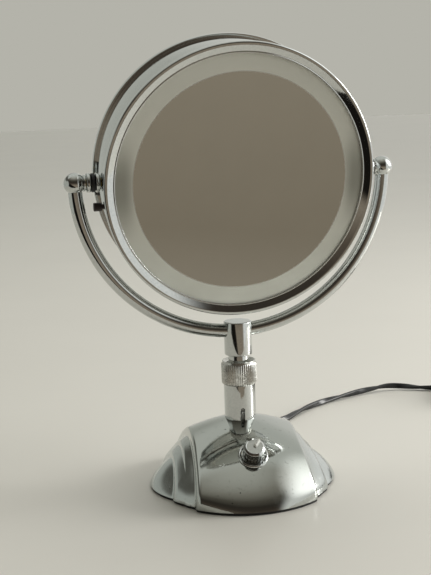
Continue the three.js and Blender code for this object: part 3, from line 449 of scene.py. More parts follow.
def frosted_ring():
    """Float glass etched on its back, unlit: a grey-green matt band under a glossy face, with painted shade
    in front of the two lampholders and painted light that makes it paler towards its bottom, clearing softly
    into the mirror at its inner edge."""
    made, tree, surface = new_material("back_etched_glass", Coat_Weight=0.5, Coat_Roughness=0.04)
    coords = object_coords(tree)
    apart = add(tree, "ShaderNodeSeparateXYZ", None, {"Vector": coords})
    across = calc(tree, "ABSOLUTE", apart.outputs["X"])
    level = calc(tree, "ABSOLUTE", apart.outputs["Z"])
    # Painted shade: a patch beside each pivot, darkened towards grey, stands for the lampholders' shadow seen
    # through the frost.
    beside = spread(tree, across, 76 * MM, 90 * MM, 0, 1, "SMOOTHSTEP")
    near_axis = spread(tree, level, 4 * MM, 46 * MM, 1, 0, "SMOOTHSTEP")
    holder_shade_mask = calc(tree, "MULTIPLY", beside, near_axis)
    # Painted light: the ring is painted paler towards its bottom.
    lower_light_mask = spread(tree, apart.outputs["Z"], -20 * MM, -85 * MM, 0, 1, "SMOOTHSTEP")
    frost = noise(tree, coords, 1.2, 3, 0.6)
    cloud = noise(tree, coords, 25, 3)
    pale = blend_colour(tree, lower_light_mask, linear("#d6d6cc"), linear("#e6e9e0"))
    varied = blend_colour(tree, spread(tree, cloud, 0.3, 0.7, 0, 0.3), pale, linear("#cbcbc1"))
    dark = blend_colour(tree, holder_shade_mask, varied, linear("#96968c"))
    flat = add(tree, "ShaderNodeCombineXYZ", None, {"X": apart.outputs["X"], "Y": apart.outputs["Z"]})
    radius = add(tree, "ShaderNodeVectorMath", {"operation": "LENGTH"}, {0: flat.outputs[0]}).outputs["Value"]
    silver = spread(tree, radius, MIRROR_RADIUS * MM, (MIRROR_RADIUS + 2.2) * MM, 1, 0, "SMOOTHSTEP")
    tree.links.new(silver, surface.inputs["Metallic"])
    tree.links.new(blend_colour(tree, silver, dark, linear("#dcdfdb")), surface.inputs["Base Color"])
    tree.links.new(spread(tree, silver, 0, 1, 0.42, 0.05), surface.inputs["Roughness"])
    bump(tree, surface, frost, 0.01, 0.15)
    return made


def silvered_glass():
    """Back-silvered float glass: a neutral mirror with the faintest green, and dust on its face."""
    made, tree, surface = new_material("back_silvered_glass", Metallic=1.0)
    coords = object_coords(tree)
    dust = noise(tree, coords, 30, 4, 0.6)
    tree.links.new(spread(tree, dust, 0.45, 0.8, 0.012, 0.05), surface.inputs["Roughness"])
    tint = blend_colour(tree, dust, linear("#dfe3df"), linear("#d8dcd8"))
    tree.links.new(tint, surface.inputs["Base Color"])
    return made


def lamp_glass():
    """Clear lamp glass over a pale inner coat."""
    made, tree, surface = new_material("coated_lamp_glass", Roughness=0.15, Coat_Weight=1.0)
    coords = object_coords(tree)
    coat = noise(tree, coords, 6, 3)
    colour = blend_colour(tree, coat, linear("#dfe2de"), linear("#cfd3cf"))
    tree.links.new(colour, surface.inputs["Base Color"])
    return made


FINISHES = {
    "chrome": bright_chrome(),
    "worn_chrome": cast_chrome(),
    "knurled_chrome": knurled_chrome(),
    "steel": plain_metal("zinc_plated_steel", "#a9aaa7", "#8b8d8c", 0.28, 0.5, 3),
    "cast_iron": plain_metal("raw_cast_iron", "#4a4a4c", "#2f3032", 0.6, 0.8, 1.5),
    "brass": plain_metal("nickelled_brass", "#c9b477", "#b39a5a", 0.2, 0.4, 2),
    "black_plastic": moulded("black_polypropylene", "#191a1c", "#232427", 0.32, 0.5, 0.8, 0.03),
    "cord_pvc": moulded("black_pvc_flex", "#0e0f10", "#161719", 0.3, 0.44, 3, 0.05, Coat_Weight=0.1),
    "dark_plastic": moulded("brown_phenolic", "#3a2c28", "#2b201d", 0.35, 0.5, 0.8, 0.03),
    "rubber": moulded("black_moulded_rubber", "#141414", "#1f1f1f", 0.6, 0.8, 0.7, 0.05),
    "nylon": moulded("natural_nylon", "#d9d6cc", "#cfcabd", 0.35, 0.5, 1, 0.02),
    "porcelain": moulded("glazed_porcelain", "#e8e5dc", "#dedad0", 0.12, 0.25, 3, 0.03, Coat_Weight=0.6),
    "frosted_glass": frosted_ring(),
    "mirror_glass": silvered_glass(),
    "white_enamel": moulded("baked_white_enamel", "#e4e5e0", "#d8d9d3", 0.25, 0.4, 2, 0.03),
    "lamp_glass": lamp_glass(),
}


def finish_frame():
    """Every CAD node that stays in view takes the finish of its slot."""
    for part in frame["record"]["subparts"]:
        mesh = frame["nodes"][part["node"]].data
        mesh.materials.clear()
        mesh.materials.append(FINISHES[part["material_slot"]])


finish_frame()


# ---- mains lead ----
LEAD_ROUTE = [
    (0, LEAD_EXIT, LEAD_HEIGHT), (0.1, 110, 9.4), (1.5, 115, 8.6), (6, 121.5, 6.4), (14, 127.5, 4.2),
    (27, 132.5, 3), (42, 136, 3), (57, 141, 3), (70, 150, 3), (81, 163, 3), (94, 177, 3), (110, 190, 3),
    (128, 202, 3), (150, 213, 3.4), (172, 221, 4.4), (190, 225.5, 5), (206, 224, 4), (221, 218.5, 3),
    (236, 212, 3),
]
TAIL_ROUTE = [(139, 18.6), (128, 14.8), (117, 10.8), (107, 8), (99, PLUG_AXIS), (94, PLUG_AXIS)]


def coil_turns():
    """Layers of two turns each, wound inward and outward by turns and climbing at each end of a layer, then
    a quarter turn that leads the flex away to the plug."""
    whole = COIL_LAYERS * TURNS_PER_LAYER
    turns = np.arange(0, whole + 0.25, 1 / 64)
    layer = np.minimum(turns // TURNS_PER_LAYER, COIL_LAYERS - 1)
    share = np.minimum(turns / TURNS_PER_LAYER - layer, 1)
    span = COIL_OUTER - COIL_INNER
    radius = np.where(layer % 2 == 0, COIL_OUTER - span * share, COIL_INNER + span * share)
    climb = np.where(layer < COIL_LAYERS - 1, ramp(share, 0.86, 1.0), 0)
    angle = math.pi / 2 - 2 * math.pi * turns
    x = COIL_CENTRE[0] + radius * np.cos(angle)
    y = COIL_CENTRE[1] + radius * np.sin(angle)
    return np.stack([x, y, COIL_FIRST + COIL_PITCH * (layer + climb)], axis=1)


def cord_path():
    """The lead's middle line: from the relief to the coil, round it, and out to the plug."""
    turns = coil_turns()
    reach_in = 14.6
    approach = (COIL_CENTRE[0] - reach_in - 12, COIL_CENTRE[1] + COIL_OUTER + 0.9, COIL_FIRST - 0.3)
    join = (COIL_CENTRE[0] - reach_in, COIL_CENTRE[1] + COIL_OUTER, COIL_FIRST)
    lead = smooth_line([*LEAD_ROUTE, approach, join, turns[0]], 2.0)
    plug_x = COIL_CENTRE[0] + COIL_OUTER
    leave = (plug_x, COIL_CENTRE[1] - reach_in, turns[-1][2])
    tail = smooth_line([turns[-1], leave, *[(plug_x, y, z) for y, z in TAIL_ROUTE]], 2.0)
    return np.concatenate([lead[:-1], turns[:-1], tail])


def twin_section():
    """Two round cores side by side in one sheath, with a valley between them."""
    angle = np.arange(24) * 2 * math.pi / 24
    core = CORD_THICK / 2
    shift = (CORD_WIDTH - CORD_THICK) / 2
    x = core * np.cos(angle) + np.where(np.abs(np.cos(angle)) < 1e-9, 0, np.sign(np.cos(angle))) * shift
    y = core * np.sin(angle) * np.where(np.abs(x) < shift, 0.72, 1.0)
    y = np.where(np.abs(np.cos(angle)) < 1e-9, core * 0.72 * np.sin(angle), y)
    return np.stack([x, y], axis=1)


def make_cord():
    """The flat flex, carried along its path and twisted."""
    path = cord_path()
    steps = np.linalg.norm(np.diff(path, axis=0), axis=1)
    along = np.concatenate([[0], np.cumsum(steps)])
    # The flex has been twisted by use: a lazy turn, now quicker, now slower.
    twist = 2 * math.pi * along / CORD_TWIST + 0.5 * np.sin(along / 37)
    twist *= ramp(along, 0, 60)
    points, faces = sweep(path, twin_section(), twist)
    cord = piece("flex", points, faces, "base", "cord_pvc",
                 ("power_cord", "cord_coil", "cord_tail"), sharp=70)
    return cord, path, along[-1]


def bending_groove(wide, start, land, gap):
    """One land of a strain relief and the groove after it."""
    end = start + land
    floor = wide - 1.0
    return [(wide, start, 0.3), (wide - 0.1, end, 0.3), (floor, end + 0.2), (floor, end + 0.2 + gap)]


def make_plug():
    """A slim two-pin plug: a waisted body, five grip ribs, a slotted strain relief and two sleeved pins."""
    centre_x = COIL_CENTRE[0] + COIL_OUTER
    head = 75.7
    stations = [(0.6, 4.4, 4.2), (0.2, 5.6, 4.8), (-2, 6.6, 5.2), (-5, 8.2, 5.7), (-9, 10.6, 6.2),
                (-13, 12.4, 6.7), (-18, 12.9, 6.8), (-26, 12.6, 6.8), (-32, 12.3, 6.75), (-33.6, 11.9, 6.4),
                (-34, 11.2, 5.7)]
    around = 64
    loop = circle(1.0, around)
    plump = np.sign(loop) * np.abs(loop) ** 0.55  # a circle swollen towards its corners
    points = [(centre_x + wide * across, head + back, PLUG_AXIS + tall * up)
              for back, wide, tall in stations for across, up in plump]
    faces = ring_faces(len(stations), around)
    body = piece("plug_shell", points, faces, "base", "black_plastic", ("plug_body",))
    backward = Matrix.Rotation(-math.pi / 2, 4, "X")
    lay = Matrix.Translation((centre_x * MM, head * MM, PLUG_AXIS * MM)) @ backward
    relief = [(0, -1.0), (4.4, -1.0)]
    for i in range(5):
        relief += bending_groove(4.3 - 0.2 * i, 1.2 + 3.2 * i, 2.2, 0.6)
    relief += [(3.25, 17.4, 0.3), (3.2, 17.9, 0.3), (0, 17.9)]
    sleeve = turned("plug_relief", relief, "base", "black_plastic", place=lay, segments=48)
    pins = []
    corners = [(0, 0), (2, 0), (2, 18.0, 0.8), (1.2, 19.0, 0.6), (0, 19.0)]
    collar = [(0, -0.2), (2.08, -0.2), (2.08, 9.5, 0.2), (0, 9.5)]
    forward = Matrix.Rotation(math.pi / 2, 4, "X")
    for number, x in enumerate((centre_x - 9.3, centre_x + 9.3), 1):
        at = Matrix.Translation((x * MM, 41.4 * MM, PLUG_AXIS * MM)) @ forward
        pin, sheath = "pin_%d" % number, "pin_sleeve_%d" % number
        pins.append(turned(pin, corners, "base", "brass", ("plug_" + pin,), place=at, segments=32))
        pins.append(turned(sheath, collar, "base", "black_plastic", place=at, segments=32))
    return [body, sleeve, *pins]


def make_tie():
    """A soft band round the coil's section, closed by its own thickness."""
    half_width, slack = 4.5, 0.3
    inner = math.sqrt((COIL_INNER - CORD_WIDTH / 2) ** 2 - half_width**2) - slack
    outer = COIL_OUTER + CORD_WIDTH / 2 + slack
    low, high = 1.4 - slack, 22.6 + slack
    middle = (inner + outer) / 2
    half = np.array([(outer - inner) / 2, (high - low) / 2])
    loops = []
    # Round the band's own section: in at one edge, out over the swollen back, and in at the other edge.
    for across, thick in ((-4.5, 0), (-4.5, 0.55), (-4.2, 0.9), (4.2, 0.9), (4.5, 0.55), (4.5, 0)):
        x, y = half + thick
        loop = rounded([(sx * x, sy * y, 2.0 + thick) for sx, sy in ((-1, -1), (1, -1), (1, 1), (-1, 1))])
        centre = (COIL_CENTRE[0] + across, COIL_CENTRE[1] - middle, (low + high) / 2)
        loops.append([(centre[0], centre[1] - u, centre[2] + v) for u, v in loop])
    faces = ring_faces(len(loops), len(loops[0]), closed=True)
    return piece("coil_band", sum(loops, []), faces, "base", "rubber", ("cord_tie",))


def make_relief():
    """The strain relief at the back of the base: a flange, then a taper ringed with bending grooves."""
    corners = [(0, 74), (3.8, 74), (3.8, 78.3), (5.6, 78.3, 0.3), (5.6, 81, 0.7), (4.7, 81.4)]
    for i in range(6):
        corners += bending_groove(4.6 - 0.2 * i, 83 + 3.6 * i, 2.3, 0.8)
    corners += [(3.5, 104.9, 0.3), (3.4, 106, 0.4), (0, 106)]
    place = Matrix.Translation((0, 0, LEAD_HEIGHT * MM)) @ Matrix.Rotation(-math.pi / 2, 4, "X")
    return turned("lead_relief", corners, "base", "black_plastic", ("cord_grommet",), place=place,
                  segments=48)


cord, route, cord_length = make_cord()
relief = make_relief()
make_tie()
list(make_plug())


# ---- base ----
def dome_reach(tier, ways):
    """How far a tier's dome lies from the middle of the shell's underside, along unit directions. Its plan
    runs into the footprint's ellipse towards the table."""
    height, ax, ay, foot_x, foot_y = tier[:5]
    dx, dy, dz = np.abs(ways[..., 0]), np.abs(ways[..., 1]), ways[..., 2]
    plan = np.maximum(((dx / ax) ** DOME_PLAN + (dy / ay) ** DOME_PLAN) ** (1 / DOME_PLAN), 1e-9)
    foot = np.maximum(np.hypot(dx / foot_x, dy / foot_y), 1e-9)
    low, high = np.zeros(dx.shape), np.full(dx.shape, 130.0)
    for _ in range(32):
        middle = (low + high) / 2
        z = SHELL_BOTTOM + middle * dz
        share = (1 - np.clip((z - SHELL_BOTTOM) / (FOOT_BLEND - SHELL_BOTTOM), 0, 1)) ** 2
        rho = np.clip(1 - np.clip(z / height, 0, 1) ** DOME_ROOT, 0, 1) ** (1 / DOME_POWER)
        inside = middle < rho * ((1 - share) / plan + share / foot)
        low, high = np.where(inside, middle, low), np.where(inside, high, middle)
    return low


def tier_reaches(ways):
    """For each tier, the reach of its leaning side and of its dome, trimmed by the domes it stands under."""
    domes = [dome_reach(tier, ways) for tier in TIERS]
    pairs = []
    for k, tier in enumerate(TIERS):
        side, lean = tier[5:]
        wall = (side - lean * SHELL_BOTTOM) / np.maximum(np.abs(ways[..., 0]) + lean * ways[..., 2], 1e-9)
        pairs.append((wall, np.min([domes[k], *domes[: TRIMMED_TO[k] + 1]], axis=0)))
    return pairs


def ways_at(sweep_angle, lean_angle):
    """Unit directions: sweep runs from the front edge over the top to the rear, lean from the middle out."""
    out = np.cos(lean_angle)
    return np.stack([np.sin(lean_angle), -out * np.cos(sweep_angle), out * np.sin(sweep_angle)], axis=-1)


def outermost(pairs):
    """The reach of the outermost tier, each cut off by its own side and dome."""
    return np.max([np.minimum(*pair) for pair in pairs], axis=0)


def crossing(difference, sweeps):
    """For each sweep angle, the lean angle where difference(tier reaches) turns negative."""
    low, high = np.zeros(sweeps.shape), np.full(sweeps.shape, math.pi / 2)
    for _ in range(22):
        middle = (low + high) / 2
        above = difference(tier_reaches(ways_at(sweeps, middle))) > -1e-5
        low, high = np.where(above, middle, low), np.where(above, high, middle)
    return low


def base_columns(sweeps):
    """Columns of skin points from the middle to the right side, with grid lines along each rib's edge and
    each valley, both rounded."""
    marks = []
    floor = np.zeros(sweeps.shape)  # each mark lies past the one before
    for i in range(len(TIERS) - 1):
        edge = crossing(lambda pairs: pairs[i][0] - pairs[i][1], sweeps)
        valley = crossing(lambda pairs: np.minimum(*pairs[i]) - outermost(pairs[i + 1 :]), sweeps)
        edge = np.maximum(np.minimum(edge, valley), floor)
        valley = np.maximum(valley, edge)
        marks += [(edge, RIB_ROUND / SKIN_REACH), (valley, VALLEY_ROUND / SKIN_REACH)]
        floor = valley
    columns = []

    def at(lean):
        ways = ways_at(sweeps, lean)
        return ways * outermost(tier_reaches(ways))[:, None]

    start = np.zeros(sweeps.shape)
    last = math.pi / 2 - 0.004
    counts = [44, 5, 9, 5, 9, 5, 26]
    spans = [m[0] for m in marks]
    for k, count in enumerate(counts):
        end = spans[k] if k < len(spans) else np.full(sweeps.shape, last)
        before = spans[k - 1] if k else start
        most = 0.42 * (end - before)
        round_before = np.minimum(marks[k - 1][1], most) if k else 0
        round_after = np.minimum(marks[k][1], most) if k < len(spans) else 0
        first, final = before + round_before, end - round_after
        columns += [at(first + (final - first) * t) for t in np.linspace(0, 1, count)]
        if k < len(spans):
            following = spans[k + 1] if k + 1 < len(spans) else np.full(sweeps.shape, last)
            ahead = np.minimum(marks[k][1], 0.42 * (following - end))
            one, two, three = at(final), at(end), at(end + ahead)
            for t in (0.25, 0.5, 0.75):
                columns.append((1 - t) ** 2 * one + 2 * t * (1 - t) * two + t * t * three)
    return columns


def make_base():
    """The casting: its ribbed skin, a flat rim below and a recess under that."""
    sweeps = np.linspace(0, math.pi, 190)
    half = base_columns(sweeps)
    mirrored = [c * (-1, 1, 1) for c in half[:0:-1]]
    grid = np.stack([*mirrored, *half], axis=1) + (0, 0, SHELL_BOTTOM)
    rows, wide = grid.shape[:2]
    points = grid.reshape(-1, 3).tolist()
    faces = [[i * wide + k, i * wide + k + 1, (i + 1) * wide + k + 1, (i + 1) * wide + k]
             for i in range(rows - 1) for k in range(wide - 1)]
    tips = []
    for column in (0, wide - 1):
        tips.append(len(points))
        x = grid[:, column, 0].mean() + (0.15 if column else -0.15)
        points.append((x, 0, SHELL_BOTTOM))
        faces += [[tips[-1], i * wide + column, (i + 1) * wide + column] for i in range(rows - 1)]
    loop = [tips[0], *range(wide), tips[1], *[(rows - 1) * wide + k for k in reversed(range(wide))]]
    outline = np.array([points[i] for i in loop])
    for scale, z in ((0.93, SHELL_BOTTOM), (0.93, 4.9)):
        first = len(points)
        points += [(x * scale, y * scale, z) for x, y, _ in outline]
        count = len(loop)
        faces += [[loop[k], loop[(k + 1) % count], first + (k + 1) % count, first + k] for k in range(count)]
        loop = list(range(first, first + count))
    points.append((0, 0, 4.9))
    faces += [[loop[k], loop[(k + 1) % len(loop)], len(points) - 1] for k in range(len(loop))]
    piece("base_casting", points, faces, "base", "worn_chrome", ("base_shell",), sharp=50)
    return outline


def make_foot(outline):
    """The rubber ring under the casting, set in a little from its edge."""
    plan = outline[:, :2]
    reach = np.linalg.norm(plan, axis=1)[:, None]
    outer, inner = plan * (1 - 0.9 / reach), plan * (1 - 9.0 / reach)
    levels = [(outer * 0.998, 0.0), (outer, 0.35), (outer, FOOT_HEIGHT), (inner, FOOT_HEIGHT), (inner, 0.35),
              (inner * 1.002, 0.0)]
    points = [(x, y, z) for ring, z in levels for x, y in ring]
    faces = ring_faces(len(levels), len(plan), closed=True)
    piece("foot_rubber", points, faces, "base", "rubber", ("foot_ring",))


make_foot(make_base())


# ---- column ----
def make_lower_tube():
    """The outer tube with the key slot open at its foot."""
    outer, inner = LOWER_TUBE_RADIUS, LOWER_TUBE_RADIUS - 2.0
    foot, top = LOWER_TUBE_FOOT, LOWER_TUBE_TOP
    corners = [(inner, foot), (outer, foot, 0.3), (outer, top, 0.3), (inner, top)]
    tube = turned("outer_tube", corners, "base", "chrome", ("lower_tube",), segments=160)
    half = SLOT_HALF_WIDTH
    arc = np.linspace(0, math.pi, 17)
    shape = [(half * math.cos(a), SLOT_TOP + half * math.sin(a)) for a in arc]
    shape += [(-half, foot - 2.7), (half, foot - 2.7)]
    points = [(x, y, z) for y in (-outer - 1.5, -outer + 3.5) for x, z in shape]
    mesh = bpy.data.meshes.new("slot_cutter")
    mesh.from_pydata((np.array(points) * MM).tolist(), [], ring_faces(2, len(shape)))
    work = bmesh.new()
    work.from_mesh(mesh)
    bmesh.ops.recalc_face_normals(work, faces=work.faces)
    work.to_mesh(mesh)
    work.free()
    cutter = bpy.data.objects.new("slot_cutter", mesh)
    bpy.context.scene.collection.objects.link(cutter)
    cut = tube.modifiers.new("slot", "BOOLEAN")
    cut.operation, cut.solver, cut.object = "DIFFERENCE", "EXACT", cutter
    bpy.context.view_layer.update()
    graph = bpy.context.evaluated_depsgraph_get()
    made = bpy.data.meshes.new_from_object(tube.evaluated_get(graph))
    tube.modifiers.clear()
    tube.data = made
    bpy.data.objects.remove(cutter)
    made.set_sharp_from_angle(angle=math.radians(38))


def knurl(radius, angle):
    """Straight teeth, cut into the part of the outline that stands over the chamfers."""
    share = (angle * COLLAR_TEETH / (2 * math.pi)) % 1
    top = COLLAR_RADIUS - 1.2 * np.abs(share - 0.5)
    return np.where(radius > COLLAR_RADIUS - 0.75, np.minimum(radius, top), radius)


def make_collar():
    """The locking collar: straight teeth between plain chamfers, with a dished top and a narrow neck."""
    wide = COLLAR_RADIUS
    corners = [(12.8, 81), (13.1, 81, 0.2), (wide, 81.9), (wide, 84), (wide, 90), (wide, 97.0),
               (13.3, 98.1, 0.2), (13.1, 99.7, 0.3), (12.4, 99.7, 0.3), (10.0, 97.7, 0.3), (9.8, 97.7),
               (9.8, 94.5), (12.8, 94.5)]
    around = COLLAR_TEETH * 8
    turned("collar", corners, "collar", "knurled_chrome", ("lock_collar",), segments=around, carve=knurl)


def make_inner_tube():
    """The tube that slides in the outer one."""
    outer, inner = INNER_TUBE_RADIUS, INNER_TUBE_RADIUS - 1.4
    corners = [(inner, 15), (outer, 15, 0.3), (outer, 104.2, 0.3), (inner, 104.2)]
    turned("sliding_tube", corners, "column", "chrome", ("inner_tube",))


make_lower_tube()
make_collar()
make_inner_tube()


# ---- yoke ----
def make_hub():
    """The barrel that joins the yoke to the column, with a slightly crowned top."""
    wide, top = HUB_RADIUS, HUB_TOP
    corners = [(0, HUB_FOOT), (wide, HUB_FOOT, 0.9), (wide, top - 0.3, 0.7), (wide - 1.4, top - 0.15, 0.8),
               (0, top)]
    turned("hub_barrel", corners, "yoke", "chrome", ("hub",), place=place_frame(turn=YOKE_TURN))


def make_yoke_tube():
    """The half ring, whose ends stop inside the two balls."""
    lean = math.asin(4.5 / YOKE_RADIUS)
    angle = np.linspace(math.pi + lean, 2 * math.pi - lean, 220)
    path = np.stack([YOKE_RADIUS * np.cos(angle), 0 * angle, YOKE_RADIUS * np.sin(angle)], axis=1)
    heading = np.gradient(path, axis=0)
    heading /= np.linalg.norm(heading, axis=1)[:, None]
    side = np.array([[0, 1.0, 0]] * len(path))
    up = np.cross(side, heading)
    ring = circle(YOKE_TUBE_RADIUS, 40)
    points = path[:, None] + ring[None, :, :1] * side[:, None] + ring[None, :, 1:] * up[:, None]
    faces = ring_faces(len(path), len(ring))
    piece("yoke_bow", points.reshape(-1, 3), faces, "yoke", "chrome", ("yoke_tube",), YOKE)


def flip(corners, side):
    """An outline for the other side or face when side is -1."""
    return [(c[0], side * c[1], *c[2:]) for c in corners]


def bead(start):
    """A turned bead with a rounded edge."""
    wide, waist = BEAD_RADIUS, BEAD_RADIUS - 1.5
    return [(3.7, start), (waist, start, 0.3), (wide, start + 0.9, 1.2), (wide, start + 3.1, 1.2),
            (waist, start + 4, 0.3), (3.7, start + 4)]


def ball():
    """A ball with a short neck and a thin ring that faces the head."""
    join = math.asin(BALL_NECK / BALL_RADIUS)
    angle = np.linspace(0, math.pi - join, 40)[1:]
    sphere = [(BALL_RADIUS * math.sin(a), YOKE_RADIUS + BALL_RADIUS * math.cos(a)) for a in angle]
    ring = [(6.4, BALL_RING, 0.4), (6.4, BALL_RING - 1.4, 0.4), (0, BALL_RING - 1.4)]
    return [(0, YOKE_RADIUS + BALL_RADIUS), *sphere, (BALL_NECK, BALL_RING), *ring]


def make_pivots():
    """At each side, from the yoke's end inward: ball, bead, dark friction ring, bead."""
    start, end = WASHER_START, WASHER_START + 2.4
    washer = [(3.7, start), (WASHER_RADIUS, start, 0.6), (WASHER_RADIUS, end, 0.6), (3.7, end)]
    rows = [
        ("ball_", ball(), "yoke", "chrome", "ball_end_", 96),
        ("outer_bead_", bead(OUTER_BEAD), "yoke", "chrome", "yoke_bead_", 96),
        ("friction_ring_", washer, "yoke", "black_plastic", "friction_washer_", 64),
        ("inner_bead_", bead(INNER_BEAD), "head", "chrome", "head_bead_", 96),
    ]
    for label, side in (("left", -1), ("right", 1)):
        for name, corners, body, slot, node, segments in rows:
            turned(name + label, flip(corners, side), body, slot, (node + label,), "X", YOKE, segments)


make_hub()
make_yoke_tube()
make_pivots()


# ---- head ----
def make_shell():
    """The band, and at each face a rim and an etched glass ring."""
    outer, inner = BAND_RADIUS, BAND_RADIUS - 1.2
    band = [(inner, -22), (outer, -22, 0.25), (outer, 22, 0.25), (inner, 22)]
    turned("drum_band", band, "head", "chrome", ("head_band",), "Y", HEAD, 256)
    wide = BEZEL_RADIUS
    rim = [
        (wide - 3.7, 22.3), (wide, 22.3, 0.4), (wide, 28.1, 1.6), (wide - 2.6, 28.1, 1.2), (97.6, 25.75, 0.5),
        (97.15, 26.15, 0.3), (96.4, 26.0, 0.3), (96.4, 25.0), (99.8, 25.0), (99.8, 16.3), (101.4, 16.3),
    ]
    edge = MIRROR_RADIUS + 0.02
    ring = [(99.5, GLASS_BACK), (99.5, GLASS_FACE, 0.1), (edge, GLASS_FACE), (edge, GLASS_BACK)]
    for label, face in (("front", -1), ("rear", 1)):
        turned(label + "_rim", flip(rim, face), "head", "chrome", (label + "_bezel",), "Y", HEAD, 256)
        turned(label + "_etched_ring", flip(ring, face), "head", "frosted_glass", (label + "_diffuser",),
               "Y", HEAD, 192)


def make_mirrors():
    """A flat glass at the front and a shallow magnifying dish at the rear."""
    wide = MIRROR_RADIUS
    flat = [(0, -GLASS_FACE), (wide, -GLASS_FACE), (wide, -GLASS_BACK), (0, -GLASS_BACK)]
    turned("flat_glass", flat, "head", "mirror_glass", ("front_mirror",), "Y", HEAD, 192)
    dish = [(wide * t, GLASS_FACE - 1.6 * (1 - t * t)) for t in np.linspace(0, 1, 24)]
    back = [(r, y - 3.0) for r, y in reversed(dish)]
    turned("magnifying_glass", [*dish, *back], "head", "mirror_glass", ("rear_mirror",), "Y", HEAD, 192)


def grip(radius, angle):
    """Shallow grip flutes round the stub's rim."""
    return np.where(radius > 2.9, radius - 0.16 * (0.5 + 0.5 * np.cos(14 * angle)), radius)


def make_stub():
    """The small thumb stub on the rim, below the left pivot."""
    corners = [(0, 94.2), (2, 94.2), (2, 102.6), (3.3, 102.6, 0.3), (3.3, 108.7, 0.7), (0, 108.7)]
    place = HEAD @ Matrix.Translation((0, 0, -STUB_DROP * MM))
    turned("rim_thumb_stub", flip(corners, -1), "head", "dark_plastic", ("rim_screw",), "X", place, 112, grip)


make_shell()
make_mirrors()
make_stub()


# ---- dimmer ----
def skirt_grooves(radius, angle):
    """Square-bottomed grooves down the skirt, between narrower lands."""
    share = (angle * KNOB_FLUTES / (2 * math.pi)) % 1
    deep = ramp(share, 0.50, 0.60) - ramp(share, 0.90, 1.0)
    return np.where(radius > KNOB_RADIUS - 1, radius - 1.1 * deep, radius)


def make_knob():
    """The flange on the casting, the fluted skirt and the plain cap."""
    flange = [(7.3, -1.2), (11.6, -1.2, 0.2), (11.6, 1.2, 0.5), (10.8, 2.0, 0.3), (10.0, 1.8, 0.3),
              (8.9, 0.7, 0.4), (7.3, 0.7)]
    turned("dial_flange", flange, "base", "chrome", ("knob_flange",), place=DIMMER)
    wide = KNOB_RADIUS
    skirt = [(3.3, 1.2), (wide - 0.3, 1.2), (wide, 1.5), (wide, 9.4), (3.3, 9.4)]
    turned("knob_skirt", skirt, "knob", "chrome", ("dimmer_knob",), place=KNOB, segments=240,
           carve=skirt_grooves)
    cap = [(0, 9.2), (wide + 0.1, 9.2, 0.3), (wide + 0.1, 11.2, 0.5), (6.5, 12.5, 0.4), (6.2, 12.35, 0.2),
           (0, 12.3)]
    turned("knob_cap", cap, "knob", "chrome", place=KNOB)


def make_pointer():
    """The raised bar on the cap, from its middle to its edge, with softened top edges."""
    loops = []
    for inset, z in ((0, 12.0), (0, 14.0), (0.3, 14.35), (0.75, 14.5)):
        half, start, end = 1.25 - inset, 0.2 + inset, 6.8 - inset
        nose = 1.0 - inset
        loop = rounded([(-half, start, 0.4), (half, start, 0.4), (half, end, nose), (-half, end, nose)])
        loops.append([(x, y, z) for x, y in loop])
    faces = ring_faces(len(loops), len(loops[0]))
    piece("knob_pointer", sum(loops, []), faces, "knob", "white_enamel", place=KNOB)


make_knob()
make_pointer()


# ---- studio ----
def stage_panel(name, corners, material, seen_in_gloss=True):
    """A flat panel of the floor."""
    mesh = bpy.data.meshes.new(name)
    mesh.from_pydata(corners, [], [[0, 1, 2, 3]])
    panel = bpy.data.objects.new(name, mesh)
    bpy.context.scene.collection.objects.link(panel)
    mesh.materials.append(material)
    panel.visible_glossy = seen_in_gloss


def floor_material():
    """Pale satin laminate."""
    made, tree, surface = new_material("pale_satin_laminate", Roughness=0.38)
    coords = object_coords(tree)
    cloud = noise(tree, coords, 180, 3)
    colour = blend_colour(tree, cloud, linear("#d9d6cf"), linear("#d3d0c9"))
    tree.links.new(colour, surface.inputs["Base Color"])
    return made


def make_floor():
    """One floor in five panels: chrome sees only the one near the mirror, as it would on a table."""
    made = floor_material()
    side, near, back, far = 0.8, -0.30, 0.9, 6.0
    panels = [
        ("floor_near", -side, side, near, back),
        ("floor_front", -far, far, -far, near),
        ("floor_back", -far, far, back, far),
        ("floor_left", -far, -side, near, back),
        ("floor_right", side, far, near, back),
    ]
    for name, left, right, front, rear in panels:
        corners = [(left, front, 0), (right, front, 0), (right, rear, 0), (left, rear, 0)]
        stage_panel(name, corners, made, name == "floor_near")


def soft_light(name, place, target, size, watts, colour):
    """A rectangular soft box that faces its target."""
    data = bpy.data.lights.new(name, "AREA")
    data.shape, data.size, data.size_y = "RECTANGLE", size[0], size[1]
    data.energy = watts
    data.color = linear(colour)[:3]
    lamp = bpy.data.objects.new(name, data)
    bpy.context.scene.collection.objects.link(lamp)
    lamp.location = place
    lamp.rotation_mode = "QUATERNION"
    lamp.rotation_quaternion = (Vector(target) - Vector(place)).to_track_quat("-Z", "Y")
    return lamp


def colour_scale(tree, value, stops):
    """Colours along a value from 0 to 1, as (place, hex) stops in order."""
    node = add(tree, "ShaderNodeValToRGB", None, {"Fac": value})
    scale = node.color_ramp.elements
    scale.remove(scale[1])
    for place, colour in stops:
        stop = scale.new(place)
        stop.color = linear(colour)
    scale.remove(scale[0])
    return node.outputs["Color"]


